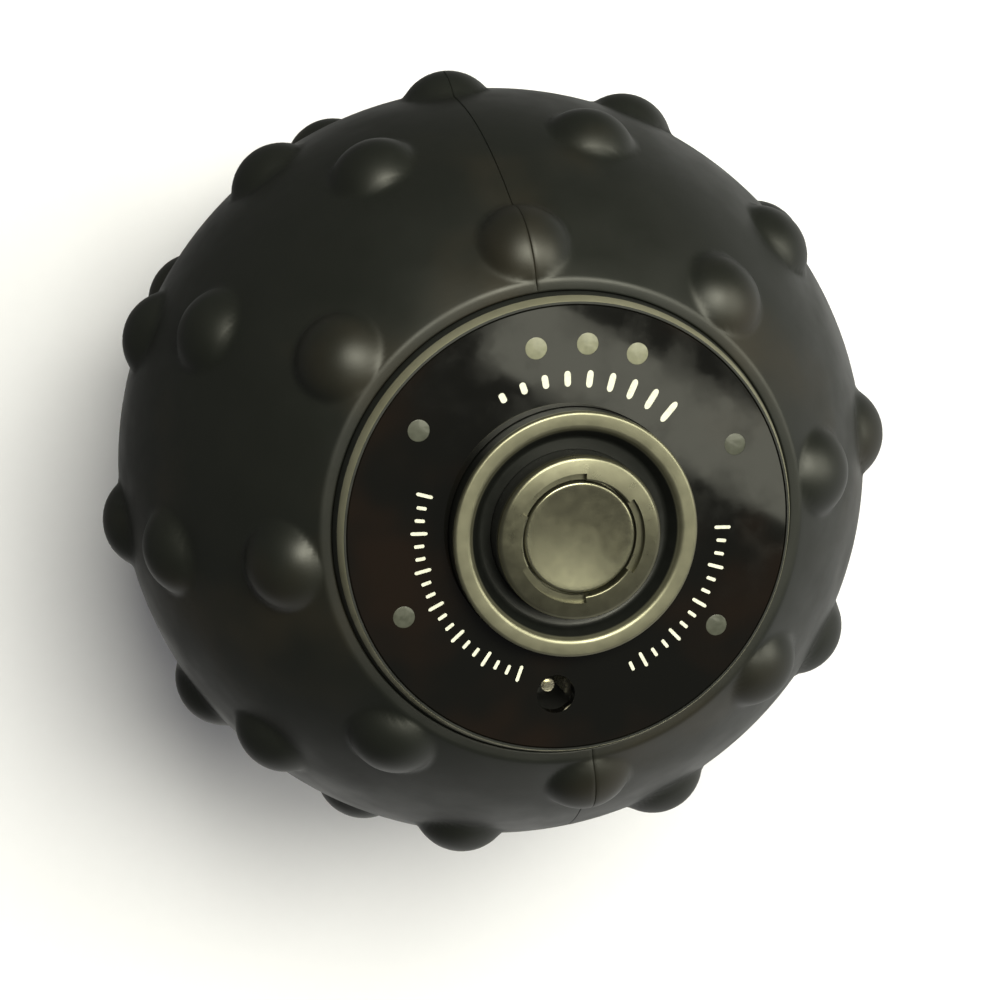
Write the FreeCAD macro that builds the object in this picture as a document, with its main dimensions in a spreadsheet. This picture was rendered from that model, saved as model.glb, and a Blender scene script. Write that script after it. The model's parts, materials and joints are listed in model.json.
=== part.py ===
"""Rechargeable vibrating massage ball: a bumped rubber ball with a round control panel.

All heights are measured from the ball's centre and every finished part is then lifted by
ball_centre, so the ball stands on its four lowest bumps with the origin under its middle.
+Z is up along the panel's axis and -Y is the charging socket's side. The skin, the shell and
everything inside it are drawn in the core's frame, where the seam lies in the plane X = 0,
and are turned about Z by seam_turn. The panel's own parts are drawn in the panel's frame.
"""
import FreeCAD, Part
import Sketcher
import math
import os
import re

Vector = FreeCAD.Vector
Constraint = Sketcher.Constraint
doc = FreeCAD.newDocument("MassageBall")

SIZES = {
    # rubber skin
    "skin_radius": (60.0, "rubber surface between the bumps"),
    "skin_thickness": (3.0, "rubber skin"),
    "skin_fit": (0.05, "glue film between skin and shell"),
    "rim_land": (1.8, "flat rubber rim round the panel"),
    "bump_height": (3.3, "bump above the skin"),
    "bump_round": (8.0, "radius of a bump's dome"),
    "ring_one_tilt": (43.5, "polar angle of the bumps round the panel, and of their twins behind"),
    "ring_two_tilt": (67.4, "polar angle of the second ring, and of its twin behind"),
    "foot_tilt": (18.0, "angle of the four feet bumps from straight down"),
    "seam_turn": (12.0, "skin and shell turned against the panel"),
    # hard shell
    "shell_wall": (3.0, "shell wall"),
    "seat_drop": (2.8, "flat rim that carries the panel, below the skin's flat top"),
    "boss_radius": (3.0, "panel screw boss"),
    "boss_depth": (9.0, "panel screw boss below the rim"),
    "boss_floor": (1.5, "closed end of a boss under its screw"),
    "panel_screw_margin": (4.9, "panel screws in from the base's edge"),
    "post_radius": (3.6, "chassis post"),
    "post_reach_x": (34.0, "chassis post from the seam plane"),
    "post_reach_y": (26.0, "chassis post along the seam plane"),
    # panel
    "panel_rise": (3.1, "panel face above the skin's flat top"),
    "bezel_radius": (33.1, "panel base at its top edge"),
    "bezel_flare": (1.1, "panel base wider at the skin's flat top"),
    "skin_gap": (0.2, "gap round the panel base"),
    "bezel_lip": (0.3, "bezel edge round the lens"),
    "lens_fit": (0.05, "gap round the lens"),
    "lens_thickness": (1.8, "glossy panel lens"),
    "lens_ledge": (1.15, "ledge under the lens"),
    "floor_thickness": (1.6, "panel base floor"),
    "floor_gap": (2.0, "opening in the floor beyond the button ring"),
    "led_margin": (6.0, "window circle in from the bezel's edge"),
    "led_radius": (1.6, "window radius"),
    "led_spread": (16.0, "angle between the three charge windows"),
    "jack_hole": (2.85, "radius of the plug's way in"),
    "lens_chamfer": (0.2, "lens edge"),
    # board
    "board_gap": (1.2, "gap round the control board"),
    "board_thickness": (1.2, "control board"),
    "board_screw_gap": (3.2, "board screws beyond the button ring's flange"),
    "mask_wall": (0.6, "light mask beyond its windows and inside the board's edge"),
    "mask_gap": (0.1, "between mask and lens, and between socket and lens"),
    "chip_side": (1.6, "light chip"),
    "chip_height": (0.9, "light chip"),
    "header_height": (4.0, "lead header under the board"),
    "plug_height": (5.0, "lead plug"),
    "hole_clearance": (0.2, "a screw's clearance hole, beyond its shank"),
    "head_clearance": (0.4, "notch round a screw head"),
    # button
    "ring_width": (2.7, "top of the button ring"),
    "ring_edge": (0.9, "chamfer outside the button ring"),
    "ring_lip": (0.2, "fall of the button ring's inner edge"),
    "ring_rise": (3.7, "button ring above the lens"),
    "groove_width": (3.3, "groove between ring and collar, at the ring's top"),
    "groove_depth": (3.0, "groove floor under the ring's top"),
    "ring_flange": (1.6, "flange under the lens"),
    "ring_fit": (0.15, "gap between lens and ring"),
    "collar_wall": (3.55, "collar's top round the cap"),
    "collar_skirt": (1.4, "collar wall below its top"),
    "collar_edge": (0.8, "chamfer outside the collar"),
    "collar_rise": (5.9, "collar above the lens"),
    "collar_fit": (0.05, "gap between ring and collar"),
    "collar_plate": (2.5, "thickness of the collar's top"),
    "cap_radius": (8.15, "button cap"),
    "cap_fit": (0.3, "gap round the cap"),
    "cap_drop": (0.8, "cap edge below the collar"),
    "cap_dish": (0.35, "depth of the cap's dish"),
    "cap_edge": (0.4, "chamfer round the cap"),
    "cap_skirt": (1.2, "cap wall round the return spring"),
    "cap_stem": (2.3, "radius of the cap's stem over the switch"),
    "cap_flange": (1.6, "cap's retaining flange beyond the cap"),
    "cap_flange_depth": (1.0, "cap's retaining flange"),
    "flange_gap": (0.1, "between the cap's flange and the collar"),
    "stem_reach": (0.3, "cap's stem below its flange"),
    "cap_recess": (0.4, "spring seat above the flange's underside"),
    "cap_travel": (0.8, "button travel"),
    "slot_width": (1.0, "arc slot beside the cap"),
    "slot_sweep": (70.0, "angle of an arc slot"),
    "switch_side": (6.2, "tact switch body"),
    "switch_height": (3.5, "tact switch body"),
    "plunger_radius": (1.75, "tact switch plunger"),
    "plunger_fit": (0.1, "gap round the plunger"),
    "plunger_room": (0.1, "left under the plunger when it is pressed"),
    "plunger_sink": (0.3, "plunger's foot in its well"),
    "spring_gap": (0.4, "between spring and cap wall"),
    "spring_play": (0.3, "spring shorter than its room"),
    "spring_wire": (0.5, "return spring's wire"),
    "spring_turns": (4.0, "turns of the return spring"),
    # charging socket
    "socket_side": (9.0, "socket body"),
    "socket_depth": (11.0, "socket body"),
    "socket_gap": (0.4, "opening round the socket, and between it and the ring's flange"),
    "socket_bore": (3.1, "radius of the socket's bore, wider than the panel's hole"),
    "socket_bore_depth": (9.4, "depth of the socket's bore"),
    "socket_pin": (1.0, "radius of the centre pin"),
    "socket_pin_reach": (7.0, "length of the centre pin above the bore's floor"),
    "socket_pin_taper": (0.3, "smaller tip of the centre pin"),
    "socket_pin_tip": (0.5, "length of the tip"),
    "contact_thickness": (0.4, "leaf contact"),
    "contact_width": (2.4, "leaf contact"),
    "contact_drop": (3.0, "leaf contact below the bore's mouth"),
    # chassis
    "plate_x": (80.0, "chassis plate across the seam"),
    "plate_y": (60.0, "chassis plate along the seam"),
    "plate_thickness": (3.0, "chassis plate"),
    "rail_height": (8.0, "battery rail above the plate"),
    "rail_wall": (2.0, "battery rail"),
    "saddle_ear": (7.0, "saddle beside the motor sleeve"),
    "saddle_margin": (2.0, "saddle beyond the clamp, at each end"),
    "lead_clearance": (5.4, "leads beside the rail"),
    # battery
    "cell_radius": (9.2, "18650 cell"),
    "cell_length": (65.0, "18650 cell"),
    "cell_gap": (0.4, "gap between the cells"),
    "pad_thickness": (0.8, "foam under the cells"),
    "link_thickness": (0.2, "nickel link"),
    "strap_width": (12.0, "battery strap"),
    "strap_wall": (1.3, "battery strap"),
    # motor
    "motor_room": (0.95, "between chassis plate and motor sleeve"),
    "motor_radius": (13.85, "motor can"),
    "motor_length": (30.0, "motor can"),
    "can_wall": (1.2, "motor can"),
    "magnet_thickness": (2.6, "magnet"),
    "air_gap": (0.6, "between magnet and armature"),
    "sleeve_wall": (1.2, "rubber sleeve round the motor"),
    "end_cap_length": (4.0, "motor end cap"),
    "shaft_radius": (1.15, "motor shaft"),
    "shaft_play": (0.02, "running clearance in a bush"),
    "bush_radius": (3.0, "motor bush"),
    "bush_length": (2.0, "motor bush"),
    "weight_radius": (12.0, "eccentric weight"),
    "weight_length": (11.0, "eccentric weight"),
    "weight_gap": (2.0, "between bush and weight"),
    "hub_radius": (4.0, "eccentric weight's hub"),
    "clamp_wall": (2.4, "motor clamp"),
    "clamp_width": (16.0, "motor clamp"),
    "clamp_screw_gap": (2.6, "clamp screws beyond the clamp's ring"),
    # screws and leads
    "screw_radius": (1.1, "screw shank"),
    "screw_head": (2.1, "radius of a screw head"),
    "head_height": (1.6, "screw head"),
    "board_head": (1.5, "radius of a board screw's head"),
    "board_head_height": (1.0, "board screw's head"),
    "recess_width": (0.5, "cross recess of a screw"),
    "lead_radius": (0.8, "insulated lead"),
}

DERIVED = {
    "bump_reach": "skin_radius + bump_height - bump_round",
    "ball_centre": "bump_reach * cos(foot_tilt) + bump_round",
    "shell_radius": "skin_radius - skin_thickness",
    "base_radius": "bezel_radius + bezel_flare",
    "rim_radius": "base_radius + rim_land",
    "cut_height": "sqrt(skin_radius * skin_radius - rim_radius * rim_radius)",
    "seat_height": "cut_height - seat_drop",
    "panel_screw_circle": "base_radius - panel_screw_margin",
    "lens_top": "cut_height + panel_rise",
    "lens_bottom": "lens_top - lens_thickness",
    "lens_radius": "bezel_radius - bezel_lip - lens_fit",
    "well_radius": "lens_radius - lens_ledge",
    "floor_top": "seat_height + floor_thickness",
    "board_top": "floor_top + board_thickness",
    "board_radius": "well_radius - board_gap",
    "notch_radius": "screw_head + head_clearance",
    "led_circle": "bezel_radius - led_margin",
    "mask_inner": "led_circle - led_radius - mask_wall",
    "mask_outer": "board_radius - mask_wall",
    "plug_foot": "floor_top - header_height - plug_height",
    "collar_bore": "cap_radius + cap_fit",
    "collar_radius": "collar_bore + collar_wall",
    "collar_cavity": "collar_radius - collar_skirt",
    "ring_bore": "collar_radius + collar_fit",
    "ring_inner": "collar_radius + groove_width",
    "ring_radius": "ring_inner + ring_width",
    "flange_radius": "ring_radius + ring_flange",
    "floor_opening": "ring_radius + floor_gap",
    "board_screw_circle": "flange_radius + board_screw_gap",
    "jack_circle": "flange_radius + socket_gap + socket_side / 2",
    "ring_top": "lens_top + ring_rise",
    "groove_floor": "ring_top - groove_depth",
    "collar_top": "lens_top + collar_rise",
    "collar_under": "collar_top - collar_plate",
    "cap_top": "collar_top - cap_drop",
    "dish_half": "cap_radius - cap_edge",
    "dish_radius": "(dish_half * dish_half + cap_dish * cap_dish) / (2 * cap_dish)",
    "flange_top": "collar_under - flange_gap",
    "flange_bottom": "flange_top - cap_flange_depth",
    "spring_radius": "cap_radius - cap_skirt - spring_wire / 2 - spring_gap",
    "spring_room": "flange_bottom + cap_recess - board_top - spring_wire - spring_play",
    "spring_foot": "board_top + spring_wire / 2 + spring_play / 3",
    "switch_top": "board_top + switch_height",
    "plunger_top": "flange_bottom - stem_reach",
    "plunger_recess": "plunger_sink + cap_travel + plunger_room",
    "socket_top": "lens_bottom - mask_gap",
    "socket_floor": "socket_top - socket_bore_depth",
    "plate_top": "plate_thickness / 2",
    "plate_bottom": "-plate_thickness / 2",
    "cell_height": "plate_top + pad_thickness + cell_radius",
    "cell_reach": "cell_radius + cell_gap / 2",
    "pack_half": "2 * cell_radius + cell_gap / 2 + 0.2",
    "rail_outer": "pack_half + rail_wall",
    "pack_end": "cell_length / 2 + link_thickness + 0.4",
    "sleeve_radius": "motor_radius + sleeve_wall",
    "motor_drop": "plate_thickness / 2 + motor_room + sleeve_radius",
    "saddle_half": "sleeve_radius + saddle_ear",
    "saddle_length": "clamp_width + 2 * saddle_margin",
    "clamp_screw_x": "sleeve_radius + clamp_wall + clamp_screw_gap",
    "weight_start": "motor_length / 2 + bush_length + weight_gap",
    "rear_weight_start": "weight_start + end_cap_length",
    "shaft_front": "weight_start + weight_length + 1",
    "shaft_rear": "rear_weight_start + weight_length + 1",
}

sheet = doc.addObject("Spreadsheet::Sheet", "Sizes")
for row, (size_name, (number, note)) in enumerate(SIZES.items(), start=1):
    sheet.set(f"A{row}", size_name)
    sheet.set(f"B{row}", str(number))
    sheet.set(f"C{row}", note)
    sheet.setAlias(f"B{row}", size_name)
doc.recompute()

# Panel screws keep clear of the windows and of the seam: angles in the panel's frame.
PANEL_SCREW_ANGLES = (52.5, 127.5, 240.0, 300.0)
BOARD_SCREW_ANGLES = (0.0, 120.0, 240.0)
# Windows: five of the six places of a hexagon and two more beside the top one.
WINDOW_ANGLES = ("30", "90 - led_spread", "90", "90 + led_spread", "150", "210", "330")
JACK_ANGLE = 270.0
SLOT_ANGLES = (125.0, 245.0, 5.0)
# Bump rings: count, polar angle and the first bump's angle past the seam plane.
BUMP_RINGS = (
    (8, "ring_one_tilt", 0.0),
    (10, "ring_two_tilt", 18.0),
    (12, "90", 0.0),
    (10, "180 - ring_two_tilt", 18.0),
    (8, "180 - ring_one_tilt", 0.0),
    (4, "180 - foot_tilt", 45.0),
)

finished = []


# ---------------------------------------------------------------- formulas and placing

def spell(formula):
    """Turn a formula written with size names into an expression on the spreadsheet."""
    def word(match):
        name = match.group(0)
        if name in DERIVED:
            return "(" + spell(DERIVED[name]) + ")"
        if name in SIZES:
            return "Sizes." + name
        return name
    return re.sub(r"[a-z][a-z_]*", word, str(formula))


def value(formula):
    """The number that a formula gives at the present sizes."""
    return float(sheet.evalExpression(spell(formula)))


def bind(thing, prop, formula):
    thing.setExpression(prop, spell(formula))


def place(thing, at):
    """Tie a primitive's base point to three formulas."""
    for axis, formula in zip("xyz", at):
        bind(thing, "Placement.Base." + axis, formula)
    return thing


def polar(radius, angle):
    """Formulas of the point at a radius and an angle about Z."""
    return f"({radius}) * cos({angle})", f"({radius}) * sin({angle})"


def finish(thing, label, core=False):
    """Name a finished part, lift it to its height and turn the core's parts to the seam.

    A lone primitive already uses its own placement, so it is grouped first.
    """
    if thing.TypeId in ("Part::Box", "Part::Cylinder", "Part::Sweep"):
        thing = group(thing)
    thing.Label = label
    if core:
        thing.Placement = FreeCAD.Placement(Vector(), FreeCAD.Rotation(Vector(0, 0, 1), value("seam_turn")))
        bind(thing, "Placement.Rotation.Angle", "seam_turn")
    bind(thing, "Placement.Base.z", "ball_centre")
    finished.append(thing)
    return thing


# ---------------------------------------------------------------- primitives and booleans

def box(length, width, height, at=("0", "0", "0")):
    """A box centred on at in X and Y and standing on it in Z."""
    thing = doc.addObject("Part::Box", "Box")
    bind(thing, "Length", length)
    bind(thing, "Width", width)
    bind(thing, "Height", height)
    corner = (f"{at[0]} - ({length}) / 2", f"{at[1]} - ({width}) / 2", at[2])
    return place(thing, corner)


def cylinder(radius, height, at=("0", "0", "0"), along_y=False):
    thing = doc.addObject("Part::Cylinder", "Cylinder")
    if along_y:
        thing.Placement.Rotation = FreeCAD.Rotation(Vector(1, 0, 0), -90)
    bind(thing, "Radius", radius)
    bind(thing, "Height", height)
    return place(thing, at)


def sphere(radius):
    thing = doc.addObject("Part::Sphere", "Sphere")
    bind(thing, "Radius", radius)
    return thing


def fuse(*things):
    joined = doc.addObject("Part::MultiFuse", "Fuse")
    joined.Shapes = list(things)
    return joined


def common(*things):
    shared = doc.addObject("Part::MultiCommon", "Common")
    shared.Shapes = list(things)
    return shared


def cut(base, *tools):
    piece = doc.addObject("Part::Cut", "Cut")
    piece.Base = base
    piece.Tool = tools[0] if len(tools) == 1 else fuse(*tools)
    return piece


def group(*things):
    """Separate solids that share one part."""
    compound = doc.addObject("Part::Compound", "Group")
    compound.Links = list(things)
    return compound


def screw(length, x, y, seat, head="screw_head", rise="head_height", upside_down=False):
    """A pan-head screw whose head stands on seat; its shank runs down, or up."""
    depth = f"{rise} * 0.5"
    if upside_down:
        top = cylinder(head, rise, (x, y, f"{seat} - {rise}"))
        shank = cylinder("screw_radius", length, (x, y, seat))
        recess = f"{seat} - {rise}"
    else:
        top = cylinder(head, rise, (x, y, seat))
        shank = cylinder("screw_radius", length, (x, y, f"{seat} - ({length})"))
        recess = f"{seat} + {depth}"
    slot = box(f"{head} * 1.3", "recess_width", depth, (x, y, recess))
    cross = box("recess_width", f"{head} * 1.3", depth, (x, y, recess))
    return cut(fuse(top, shank), slot, cross)


# ---------------------------------------------------------------- turned bodies

def plane(body, role):
    return next(f for f in body.Origin.OriginFeatures if f.Role == role)


def draw(sketch, outline):
    """Draw a closed outline whose corners are tied to formulas.

    A corner is (x, z) or (x, z, radius, side): with a radius, the edge to the next corner is
    an arc that bulges to the left (side 1) or to the right (side -1) of the way it is drawn.
    """
    points = [Vector(value(c[0]), value(c[1]), 0) for c in outline]
    count = len(points)
    for i, corner in enumerate(outline):
        start, end = points[i], points[(i + 1) % count]
        if len(corner) == 4:
            radius, side = value(corner[2]), corner[3]
            chord = end - start
            half = chord.Length / 2
            sagitta = radius - math.sqrt(radius * radius - half * half)
            left = Vector(-chord.y, chord.x, 0).normalize()
            middle = (start + end) * 0.5 + left * (side * sagitta)
            sketch.addGeometry(Part.Arc(start, middle, end), False)
        else:
            sketch.addGeometry(Part.LineSegment(start, end), False)
    # the sketcher counts an arc's ends anticlockwise, so an arc that bulges left is drawn
    # from its second end to its first
    ends = [(2, 1) if len(corner) == 4 and corner[3] == 1 else (1, 2) for corner in outline]
    constraints, formulas = [], []
    for i, corner in enumerate(outline):
        following = (i + 1) % count
        constraints.append(Constraint("Coincident", i, ends[i][1], following, ends[following][0]))
        if abs(points[i].x) < 1e-9:
            constraints.append(Constraint("PointOnObject", i, ends[i][0], -2))
        else:
            formulas.append((len(constraints), corner[0]))
            constraints.append(Constraint("DistanceX", -1, 1, i, ends[i][0], points[i].x))
        formulas.append((len(constraints), corner[1]))
        constraints.append(Constraint("DistanceY", -1, 1, i, ends[i][0], points[i].y))
        if len(corner) == 4:
            formulas.append((len(constraints), corner[2]))
            constraints.append(Constraint("Radius", i, value(corner[2])))
    sketch.addConstraint(constraints)
    for number, formula in formulas:
        bind(sketch, f"Constraints[{number}]", formula)


def lathe(name, outline):
    """A body turned about Z from an outline in the XZ plane."""
    body = doc.addObject("PartDesign::Body", name + "_turning")
    sketch = body.newObject("Sketcher::SketchObject", name + "_outline")
    sketch.AttachmentSupport = [(plane(body, "XZ_Plane"), "")]
    sketch.MapMode = "FlatFace"
    draw(sketch, outline)
    turned = body.newObject("PartDesign::Revolution", name + "_turned")
    turned.Profile = sketch
    turned.ReferenceAxis = (sketch, ["V_Axis"])
    turned.Angle = 360
    doc.recompute()
    return body


def drill(body, holes):
    """Round holes along Z right through a body; holes are (x, y, radius) formulas."""
    before = body.Shape.Volume
    sketch = body.newObject("Sketcher::SketchObject", body.Name + "_holes")
    sketch.AttachmentSupport = [(plane(body, "XY_Plane"), "")]
    sketch.MapMode = "FlatFace"
    for i, (x, y, radius) in enumerate(holes):
        centre = Vector(value(x), value(y), 0)
        sketch.addGeometry(Part.Circle(centre, Vector(0, 0, 1), value(radius)), False)
        number = sketch.addConstraint(Constraint("Radius", i, value(radius)))
        bind(sketch, f"Constraints[{number}]", radius)
        for kind, formula, at, axis in (("DistanceX", x, centre.x, -2), ("DistanceY", y, centre.y, -1)):
            if abs(at) < 1e-9:
                sketch.addConstraint(Constraint("PointOnObject", i, 3, axis))
            else:
                number = sketch.addConstraint(Constraint(kind, -1, 1, i, 3, at))
                bind(sketch, f"Constraints[{number}]", formula)
    pocket = body.newObject("PartDesign::Pocket", body.Name + "_drilled")
    pocket.Profile = sketch
    pocket.Type = "ThroughAll"
    pocket.SideType = "Symmetric"
    doc.recompute()
    if not body.Shape.Volume < before:
        raise RuntimeError(body.Name + ": the holes cut nothing")


# ---------------------------------------------------------------- skin and shell

def skin_blank():
    """The bumped ball before it is cut: one dome per ring, patterned round the axis."""
    body = doc.addObject("PartDesign::Body", "skin_blank")
    ball = body.newObject("PartDesign::AdditiveSphere", "ball")
    bind(ball, "Radius", "skin_radius")
    axis = next(f for f in body.Origin.OriginFeatures if f.Role == "Z_Axis")
    for ring, (count, tilt, lead) in enumerate(BUMP_RINGS, start=1):
        dome = body.newObject("PartDesign::AdditiveSphere", f"dome_{ring}")
        bind(dome, "Radius", "bump_round")
        across = f"bump_reach * sin({tilt})"
        x, y = polar(across, 90 + lead)
        place(dome, (x, y, f"bump_reach * cos({tilt})"))
        doc.recompute()
        pattern = body.newObject("PartDesign::PolarPattern", f"ring_{ring}")
        pattern.Originals = [dome]
        pattern.Axis = (axis, [""])
        pattern.Angle = 360
        pattern.Occurrences = count
        body.Tip = pattern
    hollow = body.newObject("PartDesign::SubtractiveSphere", "hollow")
    bind(hollow, "Radius", "shell_radius + skin_fit")
    body.Tip = hollow
    doc.recompute()
    return body


def halves(whole, name):
    """Split a part at the seam plane, which is X = 0 in the core's frame."""
    for side, sign in (("right", "1"), ("left", "-1")):
        reach = "skin_radius * 2.5"
        half = box(reach, reach, reach, (f"{sign} * {reach} / 2", "0", f"-({reach}) / 2"))
        finish(common(whole, half), f"{name}_{side}", core=True)


def skin():
    reach = "skin_radius * 3"
    above = box(reach, reach, "skin_radius", ("0", "0", "cut_height"))
    well = cylinder("base_radius + skin_gap", "skin_radius", ("0", "0", "cut_height / 2"))
    halves(cut(skin_blank(), above, well), "skin")


def core_angle(angle):
    """A panel-frame angle as the core's frame sees it."""
    return f"{angle} - seam_turn"


def shell():
    """Hard ball with bosses for the panel, posts for the chassis and room for the socket."""
    wall = cut(sphere("shell_radius"), sphere("shell_radius - shell_wall"))
    supports = []
    for angle in PANEL_SCREW_ANGLES:
        x, y = polar("panel_screw_circle", core_angle(angle))
        foot = "seat_height - boss_depth"
        supports.append(cylinder("boss_radius", "boss_depth + shell_wall", (x, y, foot)))
    for x, y in chassis_corners():
        supports.append(cylinder("post_radius", "shell_radius", (x, y, "plate_bottom - shell_radius")))
    inside = common(fuse(*supports), sphere("shell_radius - shell_wall / 2"))
    reach = "skin_radius * 3"
    above = box(reach, reach, "skin_radius", ("0", "0", "seat_height"))
    pilots = []
    for angle in PANEL_SCREW_ANGLES:
        x, y = polar("panel_screw_circle", core_angle(angle))
        pilots.append(cylinder("screw_radius", "boss_depth", (x, y, "seat_height - boss_depth + boss_floor")))
    for x, y in chassis_corners():
        foot = "plate_bottom - boss_depth"
        pilots.append(cylinder("screw_radius", "boss_depth + plate_thickness", (x, y, foot)))
    x, y = polar("jack_circle", core_angle(JACK_ANGLE))
    relief = cylinder("socket_side * sqrt(0.5) + socket_gap", "socket_depth + shell_wall",
                      (x, y, "socket_top - socket_depth - socket_gap"))
    halves(cut(fuse(wall, inside), above, relief, *pilots), "shell")


def chassis_corners():
    return [(f"{i} * post_reach_x", f"{j} * post_reach_y") for i in (-1, 1) for j in (-1, 1)]


# ---------------------------------------------------------------- panel

def panel_base():
    base = lathe("panel_base", (
        ("floor_opening", "seat_height"),
        ("base_radius", "seat_height"),
        ("base_radius", "cut_height"),
        ("bezel_radius", "lens_top"),
        ("lens_radius + lens_fit", "lens_top"),
        ("lens_radius + lens_fit", "lens_bottom"),
        ("well_radius", "lens_bottom"),
        ("well_radius", "floor_top"),
        ("floor_opening", "floor_top"),
    ))
    holes = [(*polar("panel_screw_circle", angle), "screw_radius + hole_clearance")
             for angle in PANEL_SCREW_ANGLES]
    holes += [(*polar("board_screw_circle", angle), "screw_radius") for angle in BOARD_SCREW_ANGLES]
    drill(base, holes)
    finish(cut(base, socket_opening()), "panel_base")


def socket_opening(gap="socket_gap", beyond="0"):
    """Room for the charging socket through the floor, the board and the mask."""
    side = f"socket_side + {gap}"
    x, y = polar("jack_circle", JACK_ANGLE)
    return box(side, f"{side} + {beyond}", "socket_depth", (x, y, "socket_top - socket_depth"))


def panel_lens():
    lens = lathe("panel_lens", (
        ("ring_radius + ring_fit", "lens_bottom"),
        ("lens_radius", "lens_bottom"),
        ("lens_radius", "lens_top - lens_chamfer"),
        ("lens_radius - lens_chamfer", "lens_top"),
        ("ring_radius + ring_fit", "lens_top"),
    ))
    holes = [(*polar("led_circle", angle), "led_radius") for angle in WINDOW_ANGLES]
    holes.append((*polar("jack_circle", JACK_ANGLE), "jack_hole"))
    drill(lens, holes)
    finish(lens, "panel_lens")
    windows = [cylinder("led_radius", "lens_thickness", (*polar("led_circle", angle), "lens_bottom"))
               for angle in WINDOW_ANGLES]
    finish(group(*windows), "led_windows")


def light_mask():
    """Black foam ring that keeps each light under its own window."""
    mask = lathe("light_mask", (
        ("mask_inner", "board_top"),
        ("mask_outer", "board_top"),
        ("mask_outer", "lens_bottom - mask_gap"),
        ("mask_inner", "lens_bottom - mask_gap"),
    ))
    drill(mask, [(*polar("led_circle", angle), "led_radius + hole_clearance") for angle in WINDOW_ANGLES])
    notches = screw_notches()
    for angle in BOARD_SCREW_ANGLES:
        notches.append(cylinder("board_head + head_clearance", "cut_height",
                                (*polar("board_screw_circle", angle), "floor_top / 2")))
    notches.append(socket_opening(beyond="2 * mask_outer - 2 * mask_inner"))
    finish(cut(mask, *notches), "light_mask")
    chips = []
    for angle in WINDOW_ANGLES:
        x, y = polar("led_circle", angle)
        chips.append(box("chip_side", "chip_side", "chip_height", (x, y, "board_top")))
    finish(group(*chips), "status_leds")


def screw_notches():
    """Room round the heads of the panel screws."""
    return [cylinder("notch_radius", "cut_height", (*polar("panel_screw_circle", angle), "floor_top / 2"))
            for angle in PANEL_SCREW_ANGLES]


def control_board():
    board = lathe("control_board", (
        ("0", "floor_top"),
        ("board_radius", "floor_top"),
        ("board_radius", "board_top"),
        ("0", "board_top"),
    ))
    drill(board, [(*polar("board_screw_circle", angle), "screw_radius + hole_clearance")
                  for angle in BOARD_SCREW_ANGLES])
    # the socket is held by the board, so there is no gap round it here
    finish(cut(board, *screw_notches(), socket_opening(gap="0")), "control_board")
    # length, width, height and place of each part under the board, and the round capacitor
    chips = [box(length, width, height, (x, y, f"floor_top - {height}"))
             for length, width, height, x, y in (
                 ("6", "5", "1.6", "9", "-11"), ("5", "4", "1.5", "-9", "-11"),
                 ("6.5", "6.5", "3", "-11", "9"), ("3", "1.6", "1.2", "2", "-12"))]
    capacitor_radius, capacitor_height = "3.2", "7"
    chips.append(cylinder(capacitor_radius, capacitor_height, ("10", "9", f"floor_top - {capacitor_height}")))
    finish(group(*chips), "board_chips")


def panel_screws():
    long_screws = [screw("8", *polar("panel_screw_circle", angle), "floor_top")
                   for angle in PANEL_SCREW_ANGLES]
    finish(group(*long_screws), "panel_screws")
    short_screws = [screw("board_thickness + floor_thickness", *polar("board_screw_circle", angle),
                          "board_top", "board_head", "board_head_height")
                    for angle in BOARD_SCREW_ANGLES]
    finish(group(*short_screws), "board_screws")


# ---------------------------------------------------------------- button

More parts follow.
